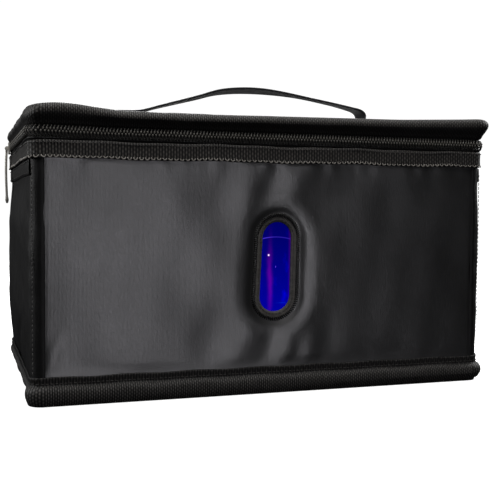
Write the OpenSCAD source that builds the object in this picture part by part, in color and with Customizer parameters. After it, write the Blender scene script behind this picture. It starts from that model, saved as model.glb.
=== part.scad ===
// Soft-sided ultraviolet sterilizer box with a zipped lid, a front window and two lamps.
// Units are millimetres. +X runs to the right, -Y to the front, +Z up.
// The origin is the centre of the footprint, on the surface that the box stands on.

/* [Case] */
// Outside length of the case, left to right
case_w = 332; // [320:2:350]
// Outside depth of the case, front to back
case_d = 200; // [190:2:220]
// Height of the case up to its rim, below the zip
case_h = 172; // [166:2:190]
// Radius of the four upright corners
corner_r = 8; // [6:1:10]

/* [Walls] */
// Thickness of the coated outer fabric
cover_t = 1; // [0.8:0.1:1.2]
// Thickness of the foam under the fabric
foam_t = 2; // [1.5:0.5:2.5]
// Thickness of the stiffening board
board_t = 2; // [1.5:0.5:2.5]
// Space between board and liner, for the wires
service_gap = 2.5; // [2.4:0.1:3]
// Thickness of the reflective liner
liner_t = 0.5; // [0.4:0.1:0.6]

/* [Trim] */
// Height of the webbing band around the rim
band_h = 11; // [9:1:12]
// Height of the rolled binding along the bottom edge
foot_h = 13; // [10:1:15]
// Height of the flat strip of the bottom binding, above its roll
foot_strip_h = 19; // [14:1:22]
// How far the bottom binding stands out from the case
foot_out = 4; // [3:0.5:5]
// Height of the rolled binding around the lid
lid_roll_h = 10.5; // [10:0.5:12]
// How far the lid binding stands out from the lid
lid_roll_out = 5.6; // [4:0.2:6]

/* [Window] */
// Width of the clear part of the window
window_w = 23; // [18:1:26]
// Height of the clear part of the window
window_h = 64; // [50:1:74]
// Width of the ring of tape around the window
window_rim = 4.8; // [4:0.2:6]
// How far the window's centre lies to the right of the case's centre
window_x = 1.7; // [-10:0.1:10]
// Height of the window's centre above the ground
window_z = 89; // [80:1:95]

/* [Zip] */
// Width of one half of the zip chain
coil_w = 3; // [2.5:0.1:3]
// Thickness of the zip chain
coil_t = 2; // [1.6:0.1:2]
// Where the zip ends on both sides, measured back from the centre
zip_end_y = 80; // [70:1:84]
// Length of the zip's pull tab
pull_l = 44; // [30:1:48]
// Angle at which the pull tab leans out from the side
pull_lean = 5.5; // [4:0.5:12]

/* [Handle] */
// Width of the handle strap
strap_w = 20; // [16:1:24]
// Thickness of the handle strap
strap_t = 1.6; // [1.2:0.1:2]
// Height of the handle's highest point above the lid
strap_rise = 30.5; // [28:0.5:40]

/* [Lamps] */
// Distance of each lamp from the centre, left and right
lamp_x = 62; // [50:1:90]
// Height of the lamps' middle above the ground
lamp_z = 71; // [65:1:76]
// Length of the lit part of each tube
lamp_l = 58; // [50:1:60]
// Diameter of the lamp tubes
lamp_d = 5; // [4:0.5:6]

/* [Controls] */
// Place of the control unit on the right wall, measured back from the centre
control_y = 40; // [20:1:48]
// Height of the control unit's centre above the ground
control_z = 118; // [110:1:125]
// Width of the control unit's hole in the wall
control_w = 60; // [60:1:64]
// Height of the control unit's hole in the wall
control_h = 38; // [38:1:42]
// Diameter of the power button
button_d = 12; // [10:1:13]
// Diameter of the recess around the power inlet
inlet_d = 8; // [7.5:0.5:9]

/* [Hidden] */

$fn = 48;
eps = 0.01;
ARC_STEPS = 6;

// Plan of the case: half length, half depth, and how deep each layer's face lies inside it
half_w = case_w / 2;
half_d = case_d / 2;
foam_in = cover_t;
board_in = foam_in + foam_t;
gap_in = board_in + board_t;
liner_in = gap_in + service_gap;
room_in = liner_in + liner_t;
wire_in = gap_in + service_gap / 2;

// Heights of the floor layers
floor_board_t = 3;
floor_board_z = cover_t;
floor_liner_z = floor_board_z + floor_board_t;

// Heights of the rim, the zip and the lid, from the bottom up
facing_t = 0.8;
band_z = case_h - 0.5 - band_h;
tape_t = 0.5;
tape_low_z = case_h - 10;
zip_low_z = case_h + 5.4;
zip_part = 1.2;
zip_high_z = zip_low_z + zip_part;
hinge_z = case_h + 3;
hinge_gap = 0.8;
lid_wall_z = zip_high_z + coil_w + 1.6;
lid_liner_z = lid_wall_z + 4.3;
lid_board_z = lid_liner_z + liner_t;
lid_foam_z = lid_board_z + board_t;
lid_cover_z = lid_foam_z + foam_t;
lid_top_z = lid_cover_z + cover_t;
tape_high_z = lid_cover_z - 2;
lid_roll_z = lid_top_z + 4 - lid_roll_h;

// Side tape under the rim band
side_tape_h = 10;
side_tape_z = band_z - 1 - side_tape_h;

// Slider, on the left wall, and the pin that its pull tab swings on
slider_l = 14;
slider_y = zip_end_y - 10;
slider_gap = 0.4;
plate_t = 1;
slider_low_z = case_h + 1.3;
slider_high_z = lid_wall_z - 0.5;
chain_out = tape_t + coil_t;
pin_out = chain_out + slider_gap + plate_t + 1.5;
pin_z = (zip_low_z + zip_high_z) / 2;
pin_r = 0.8;
pull_hub_l = 4;

// Handle: the strap's middle line from left to right, as [across, above the lid];
// it leaves its left end flat and curls over its right end
STRAP_PATH = [[-117, 6], [-113.5, 8.2], [-105, 9.9], [-92, 10.3], [-76, 11.2], [-60, 15], [-44, 19.3],
    [-28, 23.9], [-12, 28.2], [4, strap_rise - 0.4], [20, strap_rise], [37, 29.8], [54, 28], [71, 25.5],
    [89, 22.4], [103, 20], [110, 18], [113.4, 14], [112.9, 9.5], [111, 6]];
strap_neck_w = 5;
strap_neck_top = 9.5;
anchor_neck_top = 3.2;

// Wires
wire_r = 0.6;
WIRE_SIDES = 8;
reed_x = 120;
reed_z = case_h - 6;
reed_l = 14;

// Control unit, measured inwards from the outer face of the right wall
bezel_t = 3;
housing_depth = 30;
housing_wall = 2;
pcb_out = 149.6 - 166;
screw_y = 25.5;
screw_z = 14.5;
button_y = 10;
lens_y = -4;
lens_z = 8;
inlet_y = -13;
inlet_z = -2;

// ---------- outlines and helpers ----------

function arc(cx, cy, r, from, to, steps) =
    [for (i = [0 : steps]) let (a = from + (to - from) * i / steps) [cx + r * cos(a), cy + r * sin(a)]];

function rounded(w, d, r, steps = ARC_STEPS) = concat(
    arc(w / 2 - r, d / 2 - r, r, 0, 90, steps), arc(-w / 2 + r, d / 2 - r, r, 90, 180, steps),
    arc(-w / 2 + r, -d / 2 + r, r, 180, 270, steps), arc(w / 2 - r, -d / 2 + r, r, 270, 360, steps));

function capsule(w, h) = concat(arc(0, (h - w) / 2, w / 2, 0, 180, 12), arc(0, (w - h) / 2, w / 2, 180, 360, 12));

// Plan of the case, grown outwards by an offset (negative is inwards)
function plan(off) = rounded(case_w + 2 * off, case_d + 2 * off, max(corner_r + off, 0.5));

module slab(points, z0, z1) {
    translate([0, 0, z0]) linear_extrude(z1 - z0) polygon(points);
}

// A ring that follows the plan of the case between two offsets
module ring(inner, outer, z0, z1) {
    difference() {
        slab(plan(outer), z0, z1);
        slab(plan(inner), z0 - 1, z1 + 1);
    }
}

module block(low, high) {
    translate(low) cube(high - low);
}

// The quarter of the plan that belongs to one wall; the walls meet on the corners' diagonals
module sector(side) {
    reach = 30;
    x = half_w - corner_r;
    y = half_d - corner_r;
    slab(side == "front" ? [[-x - reach, -y - reach], [x + reach, -y - reach], [x, -y], [-x, -y]]
        : side == "back" ? [[-x, y], [x, y], [x + reach, y + reach], [-x - reach, y + reach]]
        : side == "left" ? [[-x - reach, -y - reach], [-x, -y], [-x, y], [-x - reach, y + reach]]
        : [[x, -y], [x + reach, -y - reach], [x + reach, y + reach], [x, y]], -1, 300);
}

module wall_skin(side) {
    intersection() {
        ring(-cover_t, 0, cover_t, case_h);
        sector(side);
    }
}

// A flat sheet along the front (-1) or back (1) wall, between two depths inside the case
module sheet_y(sign, in0, in1, half_len, z0, z1) {
    y0 = sign * (half_d - in0);
    y1 = sign * (half_d - in1);
    block([-half_len, min(y0, y1), z0], [half_len, max(y0, y1), z1]);
}

module sheet_x(sign, in0, in1, half_len, z0, z1) {
    x0 = sign * (half_w - in0);
    x1 = sign * (half_w - in1);
    block([min(x0, x1), -half_len, z0], [max(x0, x1), half_len, z1]);
}

// A capsule-shaped plug through the front wall, grown by an offset
module window_plug(grow, y0, y1) {
    translate([window_x, y1, window_z]) rotate([90, 0, 0])
        linear_extrude(y1 - y0) polygon(capsule(window_w + 2 * grow, window_h + 2 * grow));
}

module control_hole() {
    block([half_w - 40, control_y - control_w / 2, control_z - control_h / 2],
        [half_w + 10, control_y + control_w / 2, control_z + control_h / 2]);
}

// A round bar along X, Y or Z between two stations
module bar_x(x0, x1, y, z, r) {
    translate([x0, y, z]) rotate([0, 90, 0]) cylinder(h = x1 - x0, r = r);
}

module bar_y(x, y0, y1, z, r) {
    translate([x, y1, z]) rotate([90, 0, 0]) cylinder(h = y1 - y0, r = r);
}

function unit(v) = v / norm(v);
function smooth(p, i, t) =
    let (a = p[max(i - 1, 0)], b = p[i], c = p[i + 1], d = p[min(i + 2, len(p) - 1)])
    0.5 * (2 * b + (c - a) * t + (2 * a - 5 * b + 4 * c - d) * t * t + (3 * b - a - 3 * c + d) * t * t * t);
function spline(p, steps) = concat(
    [for (i = [0 : len(p) - 2]) for (k = [0 : steps - 1]) smooth(p, i, k / steps)], [p[len(p) - 1]]);
function heading(p, i) = unit(p[min(i + 1, len(p) - 1)] - p[max(i - 1, 0)]);

// Outline of a ribbon of even thickness along a path in the plane
function ribbon(p, t) = concat(
    [for (i = [0 : len(p) - 1]) let (h = heading(p, i)) p[i] + [-h[1], h[0]] * t / 2],
    [for (i = [len(p) - 1 : -1 : 0]) let (h = heading(p, i)) p[i] - [-h[1], h[0]] * t / 2]);

// A wire: a tube swept along its route
module wire(route) {
    n = len(route);
    s = WIRE_SIDES;
    points = [for (i = [0 : n - 1])
        let (h = heading(route, i), u = unit(cross(h, [0.31, 0.17, 1])), v = cross(h, u))
        for (k = [0 : s - 1]) route[i] + wire_r * (cos(360 * k / s) * u + sin(360 * k / s) * v)];
    sides = [for (i = [0 : n - 2]) for (k = [0 : s - 1])
        [i * s + k, (i + 1) * s + k, (i + 1) * s + (k + 1) % s, i * s + (k + 1) % s]];
    polyhedron(points, concat([[for (k = [0 : s - 1]) k]], sides, [[for (k = [s - 1 : -1 : 0]) (n - 1) * s + k]]));
}

// ---------- case: fabric, boards and liner ----------

module bottom_cover() {
    color("#17171a") slab(plan(0), 0, cover_t);
}

module front_cover() {
    color("#26262a") difference() {
        wall_skin("front");
        window_plug(window_rim, -half_d - 5, -half_d + 5);
    }
}

module back_cover() {
    color("#26262a") wall_skin("back");
}

module left_cover() {
    color("#1d1d20") wall_skin("left");
}

module right_cover() {
    color("#1d1d20") difference() {
        wall_skin("right");
        control_hole();
    }
}

module front_foam() {
    color("#d8d6ce") difference() {
        sheet_y(-1, foam_in, board_in, half_w - corner_r, floor_liner_z, case_h);
        window_plug(window_rim, -half_d, -half_d + 10);
        block([reed_x - reed_l / 2 - 2, -half_d, reed_z - 3], [reed_x + reed_l / 2 + 6, -half_d + 10, reed_z + 3]);
    }
}

module bottom_board() {
    color("#8c8375") slab(plan(-cover_t - 0.5), floor_board_z, floor_liner_z);
}

module front_board() {
    color("#8c8375") difference() {
        sheet_y(-1, board_in, gap_in, half_w - corner_r, floor_liner_z, case_h);
        window_plug(2, -half_d, -half_d + 20);
        bar_y(reed_x + reed_l / 2 + 3, -half_d, -half_d + 10, reed_z - 1, 2.5);
    }
}

// The back and side boards carry no foam, so they are as thick as both layers
module back_board() {
    color("#8c8375") sheet_y(1, foam_in, gap_in, half_w - corner_r, floor_liner_z, case_h);
}

module left_board() {
    color("#8c8375") sheet_x(-1, foam_in, gap_in, half_d - corner_r, floor_liner_z, case_h);
}

module right_board() {
    color("#8c8375") difference() {
        sheet_x(1, foam_in, gap_in, half_d - corner_r, floor_liner_z, case_h);
        control_hole();
    }
}

module bottom_liner() {
    color("#c9ccd2") block([-half_w + room_in, -half_d + room_in, floor_liner_z],
        [half_w - room_in, half_d - room_in, floor_liner_z + liner_t]);
}

module front_liner() {
    color("#c9ccd2") difference() {
        sheet_y(-1, liner_in, room_in, half_w - room_in, floor_liner_z, case_h);
        window_plug(2, -half_d, -half_d + 20);
    }
}

module back_liner() {
    color("#c9ccd2") difference() {
        sheet_y(1, liner_in, room_in, half_w - room_in, floor_liner_z, case_h);
        for (side = [-1, 1]) bar_y(side * lamp_x, half_d - 20, half_d, lamp_wire_z, 1.5);
    }
}

module left_liner() {
    color("#c9ccd2") sheet_x(-1, liner_in, room_in, half_d - liner_in, floor_liner_z, case_h);
}

module right_liner() {
    color("#c9ccd2") difference() {
        sheet_x(1, liner_in, room_in, half_d - liner_in, floor_liner_z, case_h);
        control_hole();
    }
}

// ---------- case: trim ----------

// Tape rolled around the bottom seam: fullest in the middle of its height
module bottom_binding() {
    color("#2b2926") {
        difference() {
            union() {
                slab(plan(foot_out - 1), 0, 2.5);
                slab(plan(foot_out), 2.5, foot_h - 3);
                slab(plan(foot_out - 1.5), foot_h - 3, foot_h);
                slab(plan(1.2), 1, foot_strip_h);
            }
            slab(plan(0), -1, foot_strip_h + 1);
        }
    }
}

module rim_band() {
    color("#33302c") ring(tape_t, tape_t + 1, band_z, band_z + band_h);
}

// Folded tape that closes the top of the wall and turns down inside
module rim_facing() {
    leg_t = 0.5;
    leg_h = 9;
    color("#1f1f21") {
        difference() {
            slab(plan(0), case_h, case_h + facing_t);
            block([-half_w + room_in + leg_t, -half_d + room_in + leg_t, 0],
                [half_w - room_in - leg_t, half_d - room_in - leg_t, 300]);
        }
        difference() {
            block([-half_w + room_in, -half_d + room_in, case_h - leg_h], [half_w - room_in, half_d - room_in, case_h]);
            block([-half_w + room_in + leg_t, -half_d + room_in + leg_t, 0],
                [half_w - room_in - leg_t, half_d - room_in - leg_t, 300]);
        }
    }
}

module side_tape(side) {
    color("#2b2926") intersection() {
        ring(0, 0.8, side_tape_z, side_tape_z + side_tape_h);
        sector(side);
        block([-300, -half_d + 4, 0], [300, half_d - 4, 300]);
    }
}

module left_side_tape() {
    side_tape("left");
}

module right_side_tape() {
    side_tape("right");
}

// ---------- window ----------

module window_ring() {
    color("#5a5853") difference() {
        window_plug(window_rim - 0.1, -half_d + 0.4, -half_d + 2);
        window_plug(0, -half_d - 1, -half_d + 3);
    }
}

module window_pane() {
    color("#1010c0", 0.8) window_plug(window_rim - 0.4, -half_d + 2, -half_d + board_in);
}

// ---------- zip ----------

// The stretch of the plan that the zip follows: left side, front and right side, up to its end
module zip_run(end_y) {
    block([-300, -300, 0], [300, end_y, 300]);
}

module case_zip_tape() {
    color("#1a1a1b") intersection() {
        ring(0, tape_t, tape_low_z, zip_low_z);
        zip_run(zip_end_y + 2.2);
    }
}

module case_zip_coil() {
    color("#3a3833") intersection() {
        ring(tape_t, chain_out, zip_low_z - coil_w, zip_low_z);
        zip_run(zip_end_y);
    }
}

module lid_zip_tape() {
    color("#1a1a1b") intersection() {
        ring(0, tape_t, zip_high_z, tape_high_z);
        zip_run(zip_end_y + 2.2);
    }
}

module lid_zip_coil() {
    color("#3a3833") intersection() {
        ring(tape_t, chain_out, zip_high_z, zip_high_z + coil_w);
        zip_run(zip_end_y);
    }
}

// A metal clip bent over the end of the lower tape, on both sides of the case
module zip_stops() {
    length = 3;
    color("#b9bcc0") for (side = [-1, 1]) {
        x = side * (half_w + tape_t / 2);
        difference() {
            block([x - 1.25, zip_end_y + 0.2, zip_low_z - 4], [x + 1.25, zip_end_y + 0.2 + length, zip_low_z]);
            block([x - tape_t / 2, zip_end_y, zip_low_z - 5],
                [x + tape_t / 2, zip_end_y + 0.2 + length - 1, zip_low_z + 1]);
        }
    }
}

// Two plates around the chain, joined by the divider that parts the tapes, and ears for the pull's pin
module zip_slider() {
    outer_x = -half_w - chain_out - slider_gap;
    inner_x = -half_w + slider_gap;
    y0 = slider_y - slider_l / 2;
    y1 = slider_y + slider_l / 2;
    divider = zip_part - 0.4;
    ear = 1.2;
    color("#c4c6c9") {
        union() {
            block([outer_x - plate_t, y0, slider_low_z], [outer_x, y1, slider_high_z]);
            block([inner_x, y0, slider_low_z], [inner_x + plate_t, y1, slider_high_z]);
            block([outer_x - eps, y1 - 4, pin_z - divider / 2], [inner_x + eps, y1 - 1, pin_z + divider / 2]);
            block([outer_x - eps, y0, slider_low_z], [-half_w - tape_t - 0.3, y1, slider_low_z + 0.6]);
            for (side = [-1, 1]) {
                y = slider_y + side * (pull_hub_l / 2 + 0.2 + ear / 2);
                block([-half_w - pin_out, y - ear / 2, pin_z - 1.4], [outer_x - plate_t + eps, y + ear / 2, pin_z + 1.4]);
                bar_y(-half_w - pin_out, y - ear / 2, y + ear / 2, pin_z, 1.4);
            }
            bar_y(-half_w - pin_out, slider_y - pull_hub_l / 2 - 0.7, slider_y + pull_hub_l / 2 + 0.7, pin_z, pin_r);
        }
    }
}

// Cast tab with an eye around the slider's pin; the blade widens towards its end
module pull_tab() {
    hub_r = 1.45;
    color("#c4c6c9") translate([-half_w - pin_out, slider_y, pin_z]) rotate([0, pull_lean, 0]) difference() {
        union() {
            bar_y(0, -pull_hub_l / 2, pull_hub_l / 2, 0, hub_r);
            translate([0.7, 0, 0]) rotate([0, -90, 0]) linear_extrude(1.4) polygon([
                [-1.05, -1.9], [-6, -1.9], [-9, -2.5], [-pull_l + 3, -3.3], [-pull_l, -2.2],
                [-pull_l, 2.2], [-pull_l + 3, 3.3], [-9, 2.5], [-6, 1.9], [-1.05, 1.9]]);
        }
        bar_y(0, -10, 10, 0, pin_r + 0.08);
        block([-5, -1.3, -pull_l + 4], [5, 1.3, -pull_l + 12]);
    }
}

// ---------- lid ----------

module hinge_tape_case() {
    color("#1a1a1b") block([-half_w + corner_r + 6, half_d, tape_low_z], [half_w - corner_r - 6, half_d + tape_t, hinge_z - hinge_gap]);
}

module hinge_tape_lid() {
    color("#1a1a1b") block([-half_w + corner_r + 6, half_d, hinge_z + hinge_gap], [half_w - corner_r - 6, half_d + tape_t, tape_high_z]);
}

module lid_cover() {
    color("#222226") slab(plan(0), lid_cover_z, lid_top_z);
}

module lid_foam() {
    color("#d8d6ce") difference() {
        slab(plan(-cover_t - 0.2), lid_foam_z, lid_cover_z);
        translate([reed_x, -half_d + 12, lid_foam_z - 1]) cylinder(h = foam_t + 2, r = 5.2);
    }
}

module lid_board() {
    color("#8c8375") slab(plan(-cover_t - 0.2), lid_board_z, lid_foam_z);
}

module lid_liner() {
    color("#c9ccd2") slab(plan(-cover_t - 0.2), lid_liner_z, lid_board_z);
}

// Upright strip around the lid; at the back it reaches down to the hinge
module lid_wall() {
    color("#141416") {
        ring(-cover_t, 0, lid_wall_z, lid_cover_z);
        block([-half_w + corner_r, half_d - cover_t, hinge_z + 1], [half_w - corner_r, half_d, lid_wall_z]);
    }
}

// Tape rolled around the lid's edge seam, standing proud of the lid's top
module lid_binding() {
    color("#2b2926") {
        ring(tape_t, lid_roll_out - 1, lid_roll_z, lid_roll_z + 2.5);
        ring(tape_t, lid_roll_out, lid_roll_z + 2.5, lid_top_z);
        ring(-2, lid_roll_out, lid_top_z, lid_top_z + 2);
        ring(-1, lid_roll_out - 1, lid_top_z + 2, lid_top_z + 4);
    }
}

module lid_magnet() {
    color("#9a9c9f") translate([reed_x, -half_d + 12, lid_foam_z]) cylinder(h = foam_t, r = 5);
}

// ---------- handle ----------

module handle_strap() {
    color("#2a2a2f") translate([0, strap_w / 2, lid_top_z]) difference() {
        rotate([90, 0, 0]) linear_extrude(strap_w) polygon(ribbon(spline(STRAP_PATH, 3), strap_t));
        for (y = [-strap_w - 1, -strap_w / 2 + strap_neck_w / 2])
            block([-300, y, 0], [300, y + strap_w / 2 - strap_neck_w / 2 + 1, strap_neck_top]);
    }
}

// The strap's end, folded inwards, sewn flat on the lid, with the start of the strap rising from it
module handle_anchor(side, shift = 0) {
    rise = ribbon([[110, strap_t / 2], [114.5, 1.6], [116.6, anchor_neck_top]], strap_t);
    color("#2a2a2f") translate([shift, 0, lid_top_z]) scale_side(side) {
        block([86, -strap_w / 2, 0], [111, strap_w / 2, strap_t]);
        translate([0, strap_neck_w / 2, 0]) rotate([90, 0, 0]) linear_extrude(strap_neck_w) polygon(rise);
    }
}

module scale_side(side) {
    if (side < 0) mirror([1, 0, 0]) children();
    else children();
}

module handle_anchor_left() {
    handle_anchor(-1);
}

module handle_anchor_right() {
    handle_anchor(1, -6);
}

// ---------- lamps ----------

lamp_back_y = half_d - room_in;
lamp_axis_y = lamp_back_y - 12;
lamp_cap_l = 7;
lamp_plate_w = 24;
lamp_plate_h = lamp_l + 2 * lamp_cap_l + 10;
lamp_wire_z = lamp_z + lamp_l / 2 + lamp_cap_l / 2;

// Backing plate with a socket at each end of the tube
module lamp_holder(side) {
    x = side * lamp_x;
    color("#e6e6e4") difference() {
        union() {
            block([x - lamp_plate_w / 2, lamp_back_y - 2, lamp_z - lamp_plate_h / 2],
                [x + lamp_plate_w / 2, lamp_back_y, lamp_z + lamp_plate_h / 2]);
            for (end = [-1, 1]) {
                z = lamp_z + end * (lamp_l + lamp_cap_l) / 2;
                block([x - 5, lamp_axis_y - 4.5, z - lamp_cap_l / 2], [x + 5, lamp_back_y - 1, z + lamp_cap_l / 2]);
            }
        }
        translate([x, lamp_axis_y, lamp_z - lamp_l / 2 - 5]) cylinder(h = lamp_l + 10, d = lamp_d + 0.2);
        bar_y(x, lamp_axis_y + 4, half_d, lamp_wire_z, 1.2);
    }
}

module lamp_tube(side) {
    color("#8a4fe0", 0.7) translate([side * lamp_x, lamp_axis_y, lamp_z - lamp_l / 2 - 4.8])
        cylinder(h = lamp_l + 9.6, d = lamp_d);
}

// Hoops around the tube, joined by a bar, clipped to the backing plate
module lamp_guard(side) {
    hoop = 1.4;
    reach = 9;
    x = side * lamp_x;
    front = lamp_axis_y - 8;
    color("#d0d3d6") {
        for (z = [-1 : 1]) difference() {
            block([x - reach, front, lamp_z + z * 18 - hoop / 2], [x + reach, lamp_back_y - 2, lamp_z + z * 18 + hoop / 2]);
            block([x - reach + hoop, front + hoop, 0], [x + reach - hoop, half_d, 300]);
        }
        block([x - hoop / 2, front, lamp_z - 22], [x + hoop / 2, front + hoop, lamp_z + 22]);
    }
}

module left_lamp_holder() {
    lamp_holder(-1);
}

module right_lamp_holder() {
    lamp_holder(1);
}

module left_lamp_tube() {
    lamp_tube(-1);
}

module right_lamp_tube() {
    lamp_tube(1);
}

module left_lamp_guard() {
    lamp_guard(-1);
}

module right_lamp_guard() {
    lamp_guard(1);
}

// ---------- control unit ----------

// Moves to the control unit's own place: the outer face of the right wall, centre of the unit
module at_control() {
    translate([half_w, control_y, control_z]) children();
}

module at_screws() {
    for (y = [-screw_y, screw_y]) for (z = [-screw_z, screw_z]) translate([0, y, z]) children();
}

module control_bezel() {
    color("#202022") at_control() difference() {
        rotate([90, 0, 90]) linear_extrude(bezel_t) polygon(rounded(control_w + 12, control_h + 12, 6));
        bar_x(-1, 10, button_y, 0, button_d / 2 + 0.3);
        bar_x(-1, 10, lens_y, lens_z, 1.6);
        bar_x(-1, 10, inlet_y, inlet_z, inlet_d / 2);
        at_screws() {
            bar_x(-1, 10, 0, 0, 1.6);
            bar_x(bezel_t - 2, 10, 0, 0, 3);
        }
    }
}

// Inner box with a flange against the liner, screw posts, board posts and holes for the wires
module control_housing() {
    w = control_w / 2 - 0.25;
    h = control_h / 2 - 0.25;
    color("#e2e2e0") at_control() difference() {
        union() {
            difference() {
                block([-housing_depth, -w, -h], [0, w, h]);
                block([-housing_depth + housing_wall, -w + housing_wall, -h + housing_wall],
                    [1, w - housing_wall, h - housing_wall]);
            }
            difference() {
                block([-room_in - 2.4, -w - 6, -h - 6], [-room_in, w + 6, h + 6]);
                block([-room_in - 3, -w + 1, -h + 1], [0, w - 1, h - 1]);
            }
            at_screws() bar_x(-housing_depth + 1, 0, 0, 0, 3);
            for (y = [-16, 16]) bar_x(-housing_depth + 1, pcb_out - 1.6, y, 0, 2.5);
        }
        at_screws() bar_x(-housing_depth + 10, 1, 0, 0, 1.3);
        for (z = [-3, 3]) bar_y(-wire_in, w - housing_wall - 1, w + 1, z, 0.9);
        bar_y(-wire_in, -w - 1, -w + housing_wall + 1, 0, 0.9);
    }
}

// Circuit board with its transformer, two capacitors and the indicator's light source
module control_board() {
    color("#1f6b3a") at_control() {
        block([pcb_out - 1.6, -20.5, -13], [pcb_out, 20.5, 13]);
        block([pcb_out - 9.6, -8, -6.5], [pcb_out - 1.6, 6, 6.5]);
        for (z = [-6, 6]) bar_x(pcb_out - 8.6, pcb_out - 1.6, 10.5, z, 2.6);
        bar_x(pcb_out, pcb_out + 4, lens_y, lens_z, 1.5);
    }
}

module tact_switch() {
    color("#3c3c40") at_control() {
        block([pcb_out, button_y - 3, -3], [pcb_out + 4, button_y + 3, 3]);
        bar_x(pcb_out + 4, pcb_out + 10.6, button_y, 0, 1.7);
    }
}

// Barrel socket: a round bore that faces outwards
module power_socket() {
    color("#151515") at_control() difference() {
        block([pcb_out, inlet_y - 4.5, inlet_z - 5.5], [-0.1, inlet_y + 4.5, inlet_z + 5.5]);
        bar_x(-10, 1, inlet_y, inlet_z, 2.85);
    }
}

// Cap with a collar that stops it falling out of the bezel
module power_button() {
    color("#4a4a50") at_control() {
        bar_x(-4, bezel_t + 1.5, button_y, 0, button_d / 2);
        bar_x(-1.8, -0.1, button_y, 0, button_d / 2 + 1.2);
    }
}

module indicator_lens() {
    color("#3060ff", 0.8) at_control() bar_x(pcb_out + 4.5, bezel_t + 0.3, lens_y, lens_z, 1.5);
}

module bezel_screws() {
    color("#b9bcc0") at_control() at_screws() difference() {
        union() {
            bar_x(-17, bezel_t - 2 + eps, 0, 0, 1.25);
            bar_x(bezel_t - 2, bezel_t - 0.2, 0, 0, 2.8);
        }
        block([bezel_t - 1, -0.4, -1.7], [bezel_t, 0.4, 1.7]);
        block([bezel_t - 1, -1.7, -0.4], [bezel_t, 1.7, 0.4]);
    }
}

module reed_switch() {
    color("#9fd0a8") bar_x(reed_x - reed_l / 2, reed_x + reed_l / 2, 0 - half_d + (foam_in + board_in) / 2, reed_z, 0.95);
}

// Two lamp leads run right and back behind the liner; the switch lead runs to the front
module wire_harness() {
    gx = half_w - wire_in;
    gy = half_d - wire_in;
    board_x = half_w + pcb_out + 0.7;
    color("#b03a30") {
        for (side = [-1, 1]) {
            z = control_z - side * 3;
            x = side * lamp_x;
            wire([[board_x, control_y + 17, z], [board_x + 5, control_y + 17.5, z], [gx - 1.2, control_y + 20, z],
                [gx, control_y + 23, z], [gx, 80, z], [gx + 0.1, 90, z], [gx - 0.1, gy - 1.1, z],
                [gx - 1.1, gy + 0.2, z], [gx - 3.3, gy + 0.3, z], [gx - 7, gy, z], [x + 8, gy, z], [x + 3, gy, z - 0.8], [x + 0.7, gy, z - 3],
                [x, gy, z - 6], [x, gy, lamp_wire_z + 3], [x, gy - 0.4, lamp_wire_z + 1],
                [x, gy - 1.6, lamp_wire_z], [x, gy - 4, lamp_wire_z], [x, lamp_axis_y + 5, lamp_wire_z]]);
        }
        reed_y = -half_d + (foam_in + board_in) / 2;
        turn_x = reed_x + reed_l / 2 + 3;
        z = control_z;
        wire([[board_x, control_y - 18.8, z], [board_x + 5, control_y - 19, z], [gx - 1.2, control_y - 20.6, z],
            [gx, control_y - 23, z], [gx, -80, z], [gx + 0.1, -90, z], [gx - 0.1, -gy + 1.1, z],
            [gx - 1.1, -gy - 0.2, z], [gx - 3.3, -gy - 0.3, z], [gx - 7, -gy, z], [turn_x + 10, -gy, z], [turn_x + 4, -gy, z + 1], [turn_x + 0.8, -gy, z + 4],
            [turn_x, -gy, z + 8], [turn_x, -gy, reed_z - 6], [turn_x, -gy - 0.6, reed_z - 2.8],
            [turn_x, -gy - 2.2, reed_z - 0.8], [turn_x - 0.6, reed_y + 0.5, reed_z],
            [turn_x - 1.8, reed_y, reed_z], [turn_x - 2.98, reed_y, reed_z]]);
    }
}

bottom_cover();
front_cover();
back_cover();
left_cover();
right_cover();
front_foam();
bottom_board();
front_board();
back_board();
left_board();
right_board();
bottom_liner();
front_liner();
back_liner();
left_liner();
right_liner();
bottom_binding();
rim_band();
rim_facing();
left_side_tape();
right_side_tape();
window_ring();
window_pane();
case_zip_tape();
case_zip_coil();
zip_stops();
zip_slider();
pull_tab();
lid_zip_tape();
lid_zip_coil();
hinge_tape_case();
hinge_tape_lid();
lid_cover();
lid_foam();
lid_board();
lid_liner();
lid_wall();
lid_binding();
lid_magnet();
handle_strap();
handle_anchor_left();
handle_anchor_right();
left_lamp_holder();
left_lamp_tube();
left_lamp_guard();
right_lamp_holder();
right_lamp_tube();
right_lamp_guard();
control_bezel();
control_housing();
control_board();
tact_switch();
power_socket();
power_button();
indicator_lens();
bezel_screws();
reed_switch();
wire_harness();
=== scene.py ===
import math

import bpy
import numpy as np
from mathutils import Matrix, Vector


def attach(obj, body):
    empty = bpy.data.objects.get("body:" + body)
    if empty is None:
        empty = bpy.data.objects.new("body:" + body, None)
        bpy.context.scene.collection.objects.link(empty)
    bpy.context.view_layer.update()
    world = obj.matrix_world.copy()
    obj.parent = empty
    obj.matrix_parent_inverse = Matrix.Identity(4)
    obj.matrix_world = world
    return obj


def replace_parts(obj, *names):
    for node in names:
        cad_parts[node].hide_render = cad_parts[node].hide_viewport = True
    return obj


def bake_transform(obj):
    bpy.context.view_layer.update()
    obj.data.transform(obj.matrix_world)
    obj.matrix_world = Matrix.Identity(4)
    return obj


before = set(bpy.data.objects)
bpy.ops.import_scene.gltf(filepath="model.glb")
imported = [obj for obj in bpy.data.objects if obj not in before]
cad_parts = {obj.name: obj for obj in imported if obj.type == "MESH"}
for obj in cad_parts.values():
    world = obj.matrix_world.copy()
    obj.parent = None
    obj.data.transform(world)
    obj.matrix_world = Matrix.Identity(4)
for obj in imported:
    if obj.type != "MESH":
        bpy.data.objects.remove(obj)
scene = bpy.context.scene
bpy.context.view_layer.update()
rng = np.random.default_rng(7)

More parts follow.
